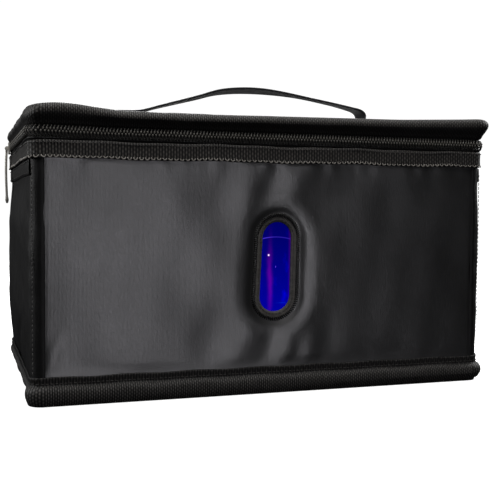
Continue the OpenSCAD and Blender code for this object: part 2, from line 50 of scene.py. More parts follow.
# ---------------- sizes, in millimetres
MM = 0.001
HALF_W, HALF_D, CORNER = 166.0, 100.0, 8.0
FLAT_X, FLAT_Y = HALF_W - CORNER, HALF_D - CORNER
ARC = CORNER * math.pi / 2
S_LEFT = FLAT_X + ARC                 # path length where the left wall starts
S_FRONT = S_LEFT + 2 * FLAT_Y + ARC
S_RIGHT = S_FRONT + 2 * FLAT_X + ARC
S_BACK = S_RIGHT + 2 * FLAT_Y + ARC
S_END = S_BACK + FLAT_X
MID_FRONT = S_FRONT + FLAT_X
MID_LEFT = S_LEFT + FLAT_Y
MID_RIGHT = S_RIGHT + FLAT_Y
LID_TOP = 193.0
SIDE_LOW, SIDE_HIGH = 7, 165          # lower and upper edge of the side and back cloths
ZIP_END = 80                          # how far the zip runs along each side from its middle
ANCHOR_SHIFT = 6                      # the strap's right end is sewn on this much nearer the middle
WIN_X, WIN_Z, WIN_R, WIN_H = 1.7, 89.0, 11.5, 20.5
RING_R = WIN_R + 4.8


def smooth(t):
    t = np.clip(t, 0, 1)
    return t * t * (3 - 2 * t)


def bump(t):
    """1 at 0, falling smoothly to 0 at 1 and beyond."""
    return smooth(1 - np.abs(t))


def wobble(a, b, length, seed):
    """Smooth wandering value between about -1 and 1, with waves near the given length."""
    r = np.random.default_rng(seed)
    total = 0
    for _ in range(6):
        ang, k, ph = r.uniform(0, 2 * math.pi), r.uniform(0.6, 1.6) * 2 * math.pi / length, r.uniform(0, 6.28)
        total = total + np.sin((a * math.cos(ang) + b * math.sin(ang)) * k + ph)
    return total / 3.2


def round_wave(s, count, phase=0):
    """A wave that closes on itself after going round the box."""
    return np.sin(s * 2 * math.pi * count / S_END + phase)


def plan_at(s):
    """Point and outward direction on the case's plan; s runs from the middle of the back, by the left side."""
    s = np.mod(np.asarray(s, float), S_END)
    x, y, nx, ny = (np.zeros_like(s) for _ in range(4))

    def straight(lo, hi, p, d, n):
        m = (s >= lo) & (s < hi)
        t = s[m] - lo
        x[m], y[m], nx[m], ny[m] = p[0] + d[0] * t, p[1] + d[1] * t, n[0], n[1]

    def arc(lo, centre, a0):
        m = (s >= lo) & (s < lo + ARC)
        a = a0 + (s[m] - lo) / CORNER
        nx[m], ny[m] = np.cos(a), np.sin(a)
        x[m], y[m] = centre[0] + CORNER * nx[m], centre[1] + CORNER * ny[m]

    straight(0, FLAT_X, (0, HALF_D), (-1, 0), (0, 1))
    arc(FLAT_X, (-FLAT_X, FLAT_Y), math.pi / 2)
    straight(S_LEFT, S_LEFT + 2 * FLAT_Y, (-HALF_W, FLAT_Y), (0, -1), (-1, 0))
    arc(S_FRONT - ARC, (-FLAT_X, -FLAT_Y), math.pi)
    straight(S_FRONT, S_FRONT + 2 * FLAT_X, (-FLAT_X, -HALF_D), (1, 0), (0, -1))
    arc(S_RIGHT - ARC, (FLAT_X, -FLAT_Y), 1.5 * math.pi)
    straight(S_RIGHT, S_RIGHT + 2 * FLAT_Y, (HALF_W, -FLAT_Y), (0, 1), (1, 0))
    arc(S_BACK - ARC, (FLAT_X, FLAT_Y), 0)
    straight(S_BACK, S_END + 1, (FLAT_X, HALF_D), (-1, 0), (0, 1))
    return x, y, nx, ny


# ---------------- mesh builders
def build(name, co, faces, mat, uv=None, body="case"):
    me = bpy.data.meshes.new(name)
    me.from_pydata((np.asarray(co, float).reshape(-1, 3) * MM).tolist(), [], np.asarray(faces).tolist())
    if uv is not None:
        idx = np.zeros(len(me.loops), int)
        me.loops.foreach_get("vertex_index", idx)
        layer = me.uv_layers.new(name="UVMap")
        layer.data.foreach_set("uv", (np.asarray(uv, float).reshape(-1, 2) * MM)[idx].astype(np.float32).ravel())
    me.polygons.foreach_set("use_smooth", np.ones(len(me.polygons), bool))
    me.materials.append(mat)
    me.update()
    ob = bpy.data.objects.new(name, me)
    scene.collection.objects.link(ob)
    if body:
        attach(ob, body)
    return ob


def grid_faces(nu, nv, wrap_v=False):
    i = np.arange(nu - 1)[:, None]
    j = np.arange(nv if wrap_v else nv - 1)[None, :]
    k = (j + 1) % nv
    return np.stack([i * nv + j, (i + 1) * nv + j, (i + 1) * nv + k, i * nv + k], -1).reshape(-1, 4)


def grid(name, P, mat, uv=None, keep=None, wrap_v=False, body="case", slot=None):
    """A surface through an array of points P[u, v]."""
    nu, nv = P.shape[:2]
    faces = grid_faces(nu, nv, wrap_v)
    if keep is not None:
        faces = faces[keep.reshape(-1)[faces].all(1)]
        used = np.unique(faces)
        remap = np.zeros(nu * nv, int)
        remap[used] = np.arange(len(used))
        return build(name, P.reshape(-1, 3)[used], remap[faces], mat,
                     None if uv is None else uv.reshape(-1, 2)[used], body)
    return build(name, P, faces, mat, uv, body)


def sweep(name, s, out, z, mat, body="case", slot=None, **kw):
    """A tape that follows the plan: out and z are arrays [path, across] of distance outward and height."""
    x, y, nx, ny = (v[:, None] for v in plan_at(s))
    out, z = np.broadcast_arrays(out, z)
    P = np.stack([x + nx * out, y + ny * out, z + 0 * out], -1)
    across = np.concatenate([np.zeros((len(s), 1)),
                             np.cumsum(np.hypot(np.diff(out, axis=1), np.diff(z, axis=1)), 1)], 1)
    uv = np.stack([np.broadcast_to(s[:, None], across.shape), across], -1)
    return grid(name, P, mat, uv, body=body, slot=slot, **kw)


def curve_through(points, n):
    """n points on a smooth line through the given ones, evenly spaced by length."""
    p = np.array(points, float)
    ext = np.vstack([2 * p[0] - p[1], p, 2 * p[-1] - p[-2]])
    t = np.linspace(0, 1, 24, endpoint=False)[:, None]
    parts = []
    for i in range(1, len(ext) - 2):
        a, b, c, d = ext[i - 1], ext[i], ext[i + 1], ext[i + 2]
        parts.append(0.5 * (2 * b + (c - a) * t + (2 * a - 5 * b + 4 * c - d) * t ** 2
                            + (3 * b - a - 3 * c + d) * t ** 3))
    line = np.vstack([*parts, p[-1:]])
    length = np.concatenate([[0], np.cumsum(np.linalg.norm(np.diff(line, axis=0), axis=1))])
    at = np.linspace(0, length[-1], n)
    return np.stack([np.interp(at, length, line[:, k]) for k in range(p.shape[1])], 1), length[-1]


def threads(name, at, along, up, length, radius, mat, body="case", lift=0.25, sides=6):
    """Short stitches: each lies along the fabric at a point and dips into it at both ends."""
    at, along, up = (np.broadcast_to(np.asarray(v, float), np.asarray(at).shape) for v in (at, along, up))
    n = len(at)
    along = along / np.linalg.norm(along, axis=1, keepdims=True)
    up = up / np.linalg.norm(up, axis=1, keepdims=True)
    at, along, up, side = (v[:, None, None] for v in (at, along, up, np.cross(along, up)))
    ring_t = np.array([-0.5, -0.42, -0.2, 0.2, 0.42, 0.5])[:, None, None]
    ring_r = np.array([0.35, 0.85, 1, 1, 0.85, 0.35])[:, None, None]
    ring_h = np.array([-0.5, 0.35, 1, 1, 0.35, -0.5])[:, None, None] * lift
    a = (np.arange(sides) * 2 * math.pi / sides)[:, None]
    P = at + along * (ring_t * length) + up * ring_h + radius * ring_r * (up * np.cos(a) + side * np.sin(a))
    f = grid_faces(6, sides, True)
    faces = (f[None] + (np.arange(n) * 6 * sides)[:, None, None]).reshape(-1, 4)
    return build(name, P, faces, mat, None, body)


def tubes(name, lines, radius, mat, body="case", sides=6):
    """Many short tubes of the same number of points: lines[k, point, xyz]; radius[point]."""
    lines = np.asarray(lines, float)
    n, m = lines.shape[:2]
    t = np.gradient(lines, axis=1)
    t /= np.linalg.norm(t, axis=2, keepdims=True)
    ref = np.array([0.3, 0.2, 0.93])
    u = np.cross(t, ref)
    u /= np.linalg.norm(u, axis=2, keepdims=True)
    u, v = u[:, :, None], np.cross(t, u)[:, :, None]
    a = (np.arange(sides) * 2 * math.pi / sides)[:, None]
    r = np.broadcast_to(np.asarray(radius, float), (m,))[:, None, None]
    P = lines[:, :, None] + r * (u * np.cos(a) + v * np.sin(a))
    f = grid_faces(m, sides, True)
    faces = (f[None] + (np.arange(n) * m * sides)[:, None, None]).reshape(-1, 4)
    return build(name, P, faces, mat, None, body)


# ---------------- materials
class Shader:
    """A small helper that wires a Principled material."""

    def __init__(self, name, color, rough, **inputs):
        self.m = bpy.data.materials.new(name)
        self.m.use_nodes = True
        self.t = self.m.node_tree
        self.b = self.t.nodes["Principled BSDF"]
        self.b.inputs["Base Color"].default_value = (*color, 1)
        self.b.inputs["Roughness"].default_value = rough
        for k, v in inputs.items():
            self.b.inputs[k.replace("_", " ")].default_value = v

    def node(self, kind):
        return self.t.nodes.new("ShaderNode" + kind)

    def link(self, a, b):
        self.t.links.new(a, b)

    def math(self, op, a, b=0.0, c=0.0):
        n = self.node("Math")
        n.operation = op
        for i, v in enumerate((a, b, c)):
            if hasattr(v, "links"):
                self.link(v, n.inputs[i])
            else:
                n.inputs[i].default_value = v
        return n.outputs[0]

    def add(self, a, b):
        return self.math("ADD", a, b)

    def mul(self, a, b):
        return self.math("MULTIPLY", a, b)

    def mul_add(self, a, b, c):
        return self.math("MULTIPLY_ADD", a, b, c)

    def coords(self, kind="Object"):
        n = self.node("TexCoord")
        sep = self.node("SeparateXYZ")
        self.link(n.outputs[kind], sep.inputs[0])
        return n.outputs[kind], sep.outputs

    def noise(self, vector, scale, detail=2.0, stretch=(1, 1, 1)):
        m = self.node("Mapping")
        m.inputs["Scale"].default_value = stretch
        self.link(vector, m.inputs["Vector"])
        n = self.node("TexNoise")
        n.inputs["Scale"].default_value = scale
        n.inputs["Detail"].default_value = detail
        self.link(m.outputs[0], n.inputs["Vector"])
        return n.outputs["Fac"]

    def mix_color(self, fac, a, b):
        n = self.node("Mix")
        n.data_type = "RGBA"
        self.link(fac, n.inputs[0])
        for i, v in ((6, a), (7, b)):
            if hasattr(v, "links"):
                self.link(v, n.inputs[i])
            else:
                n.inputs[i].default_value = (*v, 1)
        return n.outputs[2]

    def bumped(self, height, distance):
        n = self.node("Bump")
        n.inputs["Distance"].default_value = distance
        n.inputs["Strength"].default_value = 1.0
        self.link(height, n.inputs["Height"])
        self.link(n.outputs[0], self.b.inputs["Normal"])

    def color(self, socket):
        self.link(socket, self.b.inputs["Base Color"])


RIB_PITCH, WEFT_PITCH = 0.00085, 0.00062      # metres from rib to rib and from thread to thread


def coated_nylon(name, color, rough=0.46, spec=0.55, ior=1.5, fine=0.00007):
    """Tightly woven nylon with a satin coating: fine upright ribs and a slightly uneven sheen."""
    s = Shader(name, color, rough, Specular_IOR_Level=spec, IOR=ior)
    uv, c = s.coords("UV")
    rib = s.math("SINE", s.mul(c[0], 2 * math.pi / RIB_PITCH))
    weft = s.math("SINE", s.mul(c[1], 2 * math.pi / WEFT_PITCH))
    grain = s.noise(uv, 900, 2.0, (1, 0.28, 1))
    slub = s.noise(uv, 240, 2.0, (1, 0.5, 1))
    h = s.add(s.mul(rib, 0.25), s.mul(weft, 0.12))
    h = s.add(h, s.mul(grain, 1.6))
    h = s.add(h, s.mul(slub, 0.8))
    s.bumped(h, fine)
    cloud = s.noise(uv, 28, 3.0)
    r = s.add(s.mul(cloud, 0.10), rough - 0.05)
    s.link(r, s.b.inputs["Roughness"])
    dark = tuple(v * 0.75 for v in color)
    s.color(s.mix_color(grain, dark, tuple(v * 1.25 for v in color)))
    return s.m


def webbing(name, low, high, pitch=1.25, row=1.7, rough=0.55, height=0.00022):
    """Ribbed tape: cords across the tape, with the weft showing between them in staggered rows. Its base colour
    carries a painted highlight on the cord crests and painted shade in the hollows between them.
    """
    s = Shader(name, high, rough, Specular_IOR_Level=0.45)
    uv, c = s.coords("UV")
    phase = s.mul(c[0], math.pi / (pitch * MM))
    rib = s.math("ABSOLUTE", s.math("SINE", phase))
    odd = s.mul(s.math("FLOOR", s.math("DIVIDE", c[0], pitch * MM)), math.pi)
    weft = s.math("SINE", s.add(s.mul(c[1], 2 * math.pi / (row * MM)), odd))
    weft01 = s.mul_add(weft, 0.5, 0.5)
    fibre = s.noise(uv, 1500, 2.0, (1, 0.3, 1))
    blotch = s.noise(uv, 420, 2.0, (1, 0.5, 1))
    h = s.add(s.mul(rib, 0.7), s.mul(s.mul(weft01, rib), 0.5))
    h = s.add(h, s.mul(fibre, 0.25))
    s.bumped(h, height)
    # Painted light: the cord crests get the light colour as a painted highlight, and the hollows between them get the
    # dark colour as painted shade.
    lit = s.mul(s.math("POWER", rib, 3.0), s.mul_add(weft01, 0.7, 0.3))
    lit = s.mul(lit, s.mul_add(blotch, 1.6, 0.2))
    s.color(s.mix_color(lit, low, high))
    return s.m


def plain(name, color, rough, metal=0.0, grain=0.0, grain_size=600, **kw):
    s = Shader(name, color, rough, Metallic=metal, **kw)
    vec, _ = s.coords("Object")
    n = s.noise(vec, grain_size, 3.0)
    if grain:
        s.bumped(n, grain)
    s.link(s.mul_add(n, 0.12, rough - 0.06), s.b.inputs["Roughness"])
    s.color(s.mix_color(n, tuple(v * 0.88 for v in color), tuple(min(1, v * 1.1) for v in color)))
    return s.m


NYLON = coated_nylon("front nylon", (0.0026, 0.0026, 0.0031), rough=0.345, spec=0.8, ior=2.2, fine=0.00004)
NYLON_SIDE = coated_nylon("side nylon", (0.006, 0.006, 0.0065), rough=0.5, spec=0.4)
NYLON_LID = coated_nylon("lid nylon", (0.008, 0.008, 0.009), rough=0.5)
LINING = coated_nylon("lining", (0.006, 0.006, 0.0065), rough=0.6, spec=0.3)
BINDING = webbing("edge webbing", (0.001, 0.0009, 0.0008), (0.14, 0.13, 0.12), pitch=1.45, row=2.6)
# A darker copy of the edge webbing for the lower part of the lid's roll: painted shade under the roll.
BINDING_PAINTED_SHADE = webbing("edge webbing painted shade", (0.0006, 0.0005, 0.0005), (0.03, 0.027, 0.025), pitch=1.45, row=2.6)
BAND = webbing("rim webbing", (0.001, 0.0009, 0.0008), (0.12, 0.111, 0.103), pitch=1.95, row=3.1)
FOOT = webbing("foot webbing", (0.0006, 0.0005, 0.0005), (0.14, 0.132, 0.125), pitch=1.55, row=2.4)
# A darker webbing for the recessed strip along the top of the bottom binding: painted shade in the recess.
FOOT_RECESS_SHADE = webbing("foot recess painted shade", (0.0008, 0.0007, 0.0007), (0.05, 0.046, 0.044), pitch=1.9, row=5.0)
TAPE = webbing("zip tape", (0.001, 0.001, 0.001), (0.012, 0.012, 0.012), pitch=0.7, row=0.7, height=0.00008)
SIDE_TAPE = webbing("side tape", (0.001, 0.001, 0.001), (0.014, 0.013, 0.013), pitch=0.9, row=0.9, height=0.0001)
STRAP = webbing("strap", (0.02, 0.02, 0.023), (0.075, 0.075, 0.085), pitch=1.0, row=1.1, rough=0.42, height=0.0001)
COIL = plain("coil", (0.05, 0.047, 0.042), 0.36, grain=0.00002)
# A lighter copy of the coil's colour for the rounded heads: painted highlight.
COIL_HEAD_HIGHLIGHT = plain("coil heads painted highlight", (0.2, 0.19, 0.17), 0.34)
THREAD = plain("thread", (0.36, 0.34, 0.31), 0.5)
THREAD_DARK = plain("dark thread", (0.05, 0.048, 0.046), 0.5)
THREAD_GREY = plain("grey thread", (0.1, 0.097, 0.094), 0.5)
RING = webbing("window tape", (0.03, 0.028, 0.026), (0.34, 0.325, 0.31), pitch=0.55, row=0.5, rough=0.65,
               height=0.00006)
BLACK_THREAD = plain("black thread", (0.006, 0.006, 0.006), 0.5)
METAL = plain("zip metal", (0.9, 0.87, 0.8), 0.36, metal=0.4, grain=0.00002, grain_size=300)
STEEL = plain("screw steel", (0.6, 0.6, 0.62), 0.3, metal=1.0)
WIRE_METAL = plain("bright wire", (0.75, 0.75, 0.77), 0.18, metal=1.0)
BLACK = plain("black plastic", (0.014, 0.014, 0.015), 0.48, grain=0.00003, grain_size=1500)
GREY = plain("button plastic", (0.06, 0.06, 0.065), 0.4)
WHITE = plain("white plastic", (0.72, 0.72, 0.7), 0.32)
BOARD = plain("stiffening board", (0.22, 0.19, 0.155), 0.8, grain=0.00005, grain_size=300)
FOAM = plain("foam", (0.6, 0.58, 0.52), 0.9, grain=0.0002, grain_size=900)
CIRCUIT = plain("circuit board", (0.02, 0.14, 0.06), 0.35)
SLEEVE = plain("wire sleeve", (0.35, 0.04, 0.03), 0.45)
MAGNET = plain("magnet", (0.55, 0.55, 0.57), 0.25, metal=1.0)


def foil():
    s = Shader("foil liner", (0.72, 0.73, 0.76), 0.24, Metallic=0.85)
    vec, _ = s.coords("Object")
    n = s.noise(vec, 55, 5.0)
    fine = s.noise(vec, 260, 3.0)
    s.bumped(s.add(n, s.mul(fine, 0.25)), 0.0011)
    s.link(s.mul_add(fine, 0.2, 0.16), s.b.inputs["Roughness"])
    return s.m


FOIL = foil()


def clear(name, color, rough=0.05, trans=1.0, emit=None, power=0.0, ior=1.5):
    s = Shader(name, color, rough, IOR=ior, Transmission_Weight=trans)
    if emit:
        s.b.inputs["Emission Color"].default_value = (*emit, 1)
        s.b.inputs["Emission Strength"].default_value = power
    return s.m


LAMP = clear("lamp tube", (0.8, 0.75, 1.0), 0.08, 0.6, (0.16, 0.05, 1.0), 3.0)
LENS = clear("indicator lens", (0.1, 0.2, 0.9), 0.12, 0.5, (0.05, 0.15, 1.0), 0.5)
GLASS = clear("switch glass", (0.6, 0.85, 0.65), 0.05)


def painted_glow_pane():
    """Tinted sheet with the lamp's light painted on as an emitted glow: deep blue, brighter low down, with a painted
    violet streak, a painted highlight line near the top, painted highlights at the right edge and low down, and a
    painted bright dot.
    """
    s = Shader("painted glow pane", (0.0, 0.0, 0.02), 0.3, Specular_IOR_Level=0.04)
    vec, c = s.coords("Object")
    x = s.mul_add(c[0], 1000.0, -WIN_X)
    z = s.mul_add(c[2], 1000.0, -WIN_Z)

    def hump(v, centre, width):
        d = s.math("DIVIDE", s.add(v, -centre), width)
        return s.math("EXPONENT", s.mul(s.mul(d, d), -1.0))

    # Painted light: the blue glow, its cloudy veil and the brighter patch low on the right are emission painted on
    # the sheet.
    wavy = s.noise(vec, 95, 3.0)
    xw = s.add(x, s.mul(s.add(wavy, -0.5), 3.0))
    low = s.mul_add(z, -1 / 64, 0.5)                    # 0 at the top, 1 at the bottom
    blue = s.add(0.12, s.mul(s.math("POWER", s.math("MAXIMUM", low, 0.0), 1.3), 0.22))
    veil = s.noise(vec, 210, 4.0, (1, 1, 0.6))
    veil = s.mul(s.math("MAXIMUM", s.add(veil, -0.52), 0.0), 1.6)
    lower_right = s.mul(hump(x, 7.5, 6), hump(z, -12, 16))
    blue = s.add(blue, s.mul(veil, s.add(lower_right, 0.15)))
    # Painted light: a violet streak, a highlight along the right edge, a highlight line near the top, a faint dash
    # low down and a bright dot.
    streak = s.mul(hump(xw, -4.2, 1.5), hump(z, -9, 19))
    edge = s.mul(hump(x, 10.8, 0.9), 0.35)
    zl = s.add(z, s.mul(s.mul(x, x), 0.012))
    line = s.mul(hump(zl, 20.9, 0.28), s.mul_add(hump(x, -8.0, 5.0), 0.35, 0.25))
    dash = s.mul(s.mul(hump(z, -25.5, 0.45), hump(x, 5.0, 3.5)), 0.12)
    dot = s.mul(s.mul(hump(x, -5.2, 0.48), hump(z, 8.2, 0.48)), 2.0)
    red = s.add(s.mul(streak, 0.1), s.mul(edge, 0.08))
    red = s.add(red, s.add(s.mul(line, 0.12), dot))
    blue = s.add(blue, s.add(line, s.add(dot, dash)))
    blue = s.add(blue, s.mul(streak, 0.1))
    green = s.add(s.mul(line, 0.06), s.mul(dot, 0.7))
    green = s.add(green, s.mul(dash, 0.08))
    mix = s.node("CombineColor")
    for i, v in enumerate((red, green, blue)):
        s.link(v, mix.inputs[i])
    s.link(mix.outputs[0], s.b.inputs["Emission Color"])
    s.b.inputs["Emission Strength"].default_value = 1.0
    return s.m


PAINTED_GLOW_PANE = painted_glow_pane()

# ---------------- finishes of the CAD parts that stay in sight
WALLS = ("bottom", "front", "back", "left", "right", "lid")
CAD_LOOK = {
    FOAM: ["lid_foam"],
    BOARD: [w + "_board" for w in WALLS],
    FOIL: [w + "_liner" for w in WALLS],
    WHITE: ["left_lamp_holder", "right_lamp_holder", "control_housing"],
    LAMP: ["left_lamp_tube", "right_lamp_tube"],
    WIRE_METAL: ["left_lamp_guard", "right_lamp_guard"],
    BLACK: ["control_bezel", "tact_switch", "power_socket"],
    GREY: ["power_button"],
    LENS: ["indicator_lens"],
    STEEL: ["bezel_screws"],
    METAL: ["zip_stops", "zip_slider"],
    CIRCUIT: ["control_board"],
    GLASS: ["reed_switch"],
    SLEEVE: ["wire_harness"],
    MAGNET: ["lid_magnet"],
}
BEVEL = {"zip_slider": 0.35, "zip_stops": 0.3, "control_bezel": 0.7, "control_housing": 0.8,
         "power_button": 0.5, "left_lamp_holder": 0.6, "right_lamp_holder": 0.6, "left_lamp_guard": 0.45,
         "right_lamp_guard": 0.45, "power_socket": 0.2, "bezel_screws": 0.2}
for look, names in CAD_LOOK.items():
    for n in names:
        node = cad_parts[n]
        node.data.materials.clear()
        node.data.materials.append(look)
        if n in BEVEL:
            b = node.modifiers.new("soft edges", "BEVEL")
            b.width = BEVEL[n] * MM
            b.segments = 3
            b.limit_method = "ANGLE"
            b.angle_limit = math.radians(40)


# ---------------- front cloth
def window_space(x, z):
    """Undo the window's slight lean and taper, so that its outline is a plain capsule."""
    dz = z - WIN_Z
    return (x - WIN_X - 0.035 * dz) / (1 - 0.0009 * dz), dz


def lean(x, z):
    """Give window pieces the cloth's slight lean and taper."""
    dz = z - WIN_Z
    return WIN_X + (x - WIN_X) * (1 - 0.0009 * dz) + 0.035 * dz


def window_gap(x, z, r=RING_R):
    """Distance outside the rounded outline of the window's ring."""
    u, dz = window_space(x, z)
    return np.hypot(u, np.maximum(np.abs(dz) - WIN_H, 0)) - r


# Pulled folds that run from the window to the seams: from (x, z) to (x, z), depth and half width
FOLDS = [
    (-27, 124, -13, 166, 1.1, 9.0), (-44, 126, -30, 166, -1.0, 10.0), (-14, 126, 10, 168, -1.6, 8.0),
    (4, 130, 29, 168, 1.3, 9.0), (34, 122, 60, 164, -1.1, 12.0), (-62, 120, -70, 160, 0.6, 16.0),
    (-9, 56, -36, 16, 1.5, 8.5), (-36, 60, -62, 20, -0.9, 12.0), (4, 54, -11, 12, -1.7, 7.0),
    (22, 52, 0, 16, 1.3, 7.0), (18, 40, 14, 14, -0.6, 5.5), (30, 44, 23, 18, 0.4, 6.0), (42, 52, 38, 20, -0.6, 8.0),
    (-112, 140, -152, 122, -0.5, 9.0), (-104, 99, -146, 88, -0.4, 9.0), (-147, 46, -158, 16, 1.0, 4.0),
    (60, 96, 110, 120, -0.4, 14.0), (70, 60, 130, 40, -0.4, 16.0), (120, 150, 90, 110, 0.3, 14.0),
]


def front_relief(x, z):
    d = 0.9 * np.clip(1 - (x / 160) ** 4, 0, 1) * np.clip(1 - ((z - 88) / 76) ** 4, 0, 1)
    for x0, z0, x1, z1, depth, width in FOLDS:
        dx, dz = x1 - x0, z1 - z0
        length = math.hypot(dx, dz)
        t = ((x - x0) * dx + (z - z0) * dz) / length ** 2
        off = ((x - x0) * dz - (z - z0) * dx) / length + 1.2 * np.sin(t * 5 + x0)
        w = width * (0.9 + 0.5 * np.clip(t, 0, 1))
        d += 0.5 * depth * np.exp(-(off / w) ** 2) * bump((t - 0.5) / 0.9)
    q = np.maximum(window_gap(x, z), 0)
    lip = 0.14 * np.exp(-((q - 10) / 6) ** 2) * smooth((x + 10) / 24)
    d = d * smooth(q / 15) - 1.5 * np.exp(-(q / 3.8) ** 2) + lip
    edge = np.minimum(z - 12, 164 - z)
    d += 0.2 * np.exp(-(edge / 9) ** 2) * wobble(x, 0 * x, 13, 3) * smooth(edge / 3)
    d += 0.55 * wobble(x, z, 85, 11) * smooth(q / 25) + 0.2 * wobble(x, z * 0.6, 30, 12) * smooth(q / 10)
    return d * smooth((164 - z) / 5) * smooth((z - 17) / 11)


def panel(name, s0, s1, z0, z1, step, relief, mat, lift=0.0, keep=None, **kw):
    ns, nz = int((s1 - s0) / step) + 1, int((z1 - z0) / step) + 1
    s, z = np.linspace(s0, s1, ns), np.linspace(z0, z1, nz)
    S, Z = np.meshgrid(s, z, indexing="ij")
    out = relief(S, Z) + lift
    k = None if keep is None else keep(S, Z)
    ob = sweep(name, s, out, Z, mat, keep=k, slot="cover_fabric", **kw)
    return ob


def tuck(s, s0, s1, depth=0.5, reach=2.5):
    """Cloth turned in at its two upright edges."""
    return -depth * (bump((s - s0) / reach) + bump((s1 - s) / reach))


f0, f1 = S_FRONT - 1.5, S_FRONT + 2 * FLAT_X + 1.5
front = panel("front_cloth", f0, f1, 9, 165, 0.8,
              lambda s, z: front_relief(s - MID_FRONT, z) + tuck(s, f0, f1, 0.3, 5), NYLON, lift=0.25,
              keep=lambda s, z: window_gap(s - MID_FRONT, z, RING_R - 2.2) > 0)
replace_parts(front, "front_cover")

xs, zs = np.meshgrid(np.linspace(-157.5, 157.5, 211), np.linspace(5, 171, 112), indexing="ij")
hole = window_gap(xs, zs, RING_R - 1.0) > 0
P1 = np.stack([xs, -HALF_D - np.minimum(front_relief(xs, zs), 0.2) + 0.9, zs], -1)
P2 = np.stack([xs, np.full_like(xs, -97.05), zs], -1)
pad_co = np.concatenate([P1.reshape(-1, 3), P2.reshape(-1, 3)])
pf = grid_faces(*xs.shape)
pf = pf[hole.reshape(-1)[pf].all(1)]
edges = {}
for q4 in pf:
    for a, b in zip(q4, np.roll(q4, -1)):
        edges[(a, b)] = 1
rim = [(a, b) for a, b in edges if (b, a) not in edges]
nn = xs.size
walls = np.array([(b, a, a + nn, b + nn) for a, b in rim])
pad = build("front_pad", pad_co, np.concatenate([pf, pf[:, ::-1] + nn, walls]), FOAM)
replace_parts(pad, "front_foam")


# ---------------- side, back and bottom cloths
def left_relief(s, z):
    y = MID_LEFT - s
    span = np.clip(1 - ((y - 8) / 104) ** 2, 0, 1)
    high = smooth((z - 8) / 55) * smooth((150 - z) / 34)
    d = 5.2 * span ** 0.7 * high
    d += 0.5 * wobble(y, z, 60, 21) * high + 0.14 * wobble(y, z, 18, 22)
    d -= 1.6 * smooth((34 - z) / 26) * span
    d -= 1.0 * np.exp(-(((y + 20) * 0.55 + (z - 34)) / 6) ** 2) * smooth((z - 12) / 12) * smooth((62 - z) / 20)
    return d


def right_relief(s, z):
    y = s - MID_RIGHT
    near = smooth(np.maximum(np.abs(y - 40) - 38, np.abs(z - 118) - 27) / 16)
    span = np.clip(1 - (y / 100) ** 2, 0, 1) ** 0.7
    high = smooth((z - 8) / 50) * smooth((150 - z) / 34)
    d = (3.4 * span * high + 0.4 * wobble(y, z, 60, 31) * high + 0.14 * wobble(y, z, 18, 32)) * near
    d += 0.5 * np.exp(-((np.maximum(np.abs(y - 40) - 36, np.abs(z - 118) - 25) - 5) / 3) ** 2) * 0.5
    return d


def back_relief(s, z):
    x = np.where(s > S_END / 2, S_END - s, -s)
    span = np.clip(1 - (x / 164) ** 4, 0, 1)
    high = smooth((z - 8) / 40) * smooth((160 - z) / 40)
    d = 1.3 * span * high + 0.6 * wobble(x, z, 110, 41) * high + 0.2 * wobble(x, z * 0.5, 26, 42)
    for k, (cx, slope) in enumerate(((-92, 0.35), (30, -0.25), (104, 0.3))):
        d -= 0.8 * np.exp(-((x - cx - slope * (z - 90)) / 9) ** 2) * smooth((z - 14) / 30) * smooth((158 - z) / 50)
    return d


def folded_edge(s, s0, s1):
    """The side cloth stands a little proud where its turned edge lies on the front and back."""
    near = bump((s - s0) / 9) + bump((s1 - s) / 9)
    edge = bump((s - s0) / 0.9) + bump((s1 - s) / 0.9)
    return 0.75 * near - 0.5 * edge


l0, l1 = S_LEFT - ARC + 1.0, S_FRONT + 0.9
left = panel("left_cloth", l0, l1, SIDE_LOW, SIDE_HIGH, 1.2,
             lambda s, z: left_relief(s, z) + folded_edge(s, l0, l1), NYLON_SIDE, lift=0.05)
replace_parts(left, "left_cover")
r0, r1 = S_RIGHT - ARC - 0.9, S_BACK - 1.0
right = panel("right_cloth", r0, r1, SIDE_LOW, SIDE_HIGH, 1.2,
              lambda s, z: right_relief(s, z) + folded_edge(s, r0, r1), NYLON_SIDE, lift=0.05,
              keep=lambda s, z: np.maximum(np.abs(s - MID_RIGHT - 40) - 31.5, np.abs(z - 118) - 20.5) > 0)
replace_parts(right, "right_cover")
b0, b1 = S_BACK - 1.5, S_END + FLAT_X + 1.5
back = panel("back_cloth", b0, b1, SIDE_LOW, SIDE_HIGH, 1.6,
             lambda s, z: back_relief(np.mod(s, S_END), z) + tuck(s, b0, b1, 0.3, 5), NYLON_SIDE, lift=0.25)
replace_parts(back, "back_cover")

xs, ys = np.meshgrid(np.linspace(-166, 166, 140), np.linspace(-100, 100, 86), indexing="ij")
d = 0.55 + 0.35 * wobble(xs, ys, 70, 51) + 0.1 * wobble(xs, ys, 20, 52) + 2.6 * smooth((-150 - xs) / 14)
P = np.stack([xs, ys, np.maximum(d, 0.05)], -1)
round_keep = np.hypot(np.maximum(np.abs(xs) - FLAT_X, 0), np.maximum(np.abs(ys) - FLAT_Y, 0)) < 5.5
base = grid("bottom_cloth", P[:, ::-1], LINING, np.stack([xs, ys], -1)[:, ::-1], keep=round_keep[:, ::-1],
            slot="cover_fabric")
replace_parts(base, "bottom_cover")

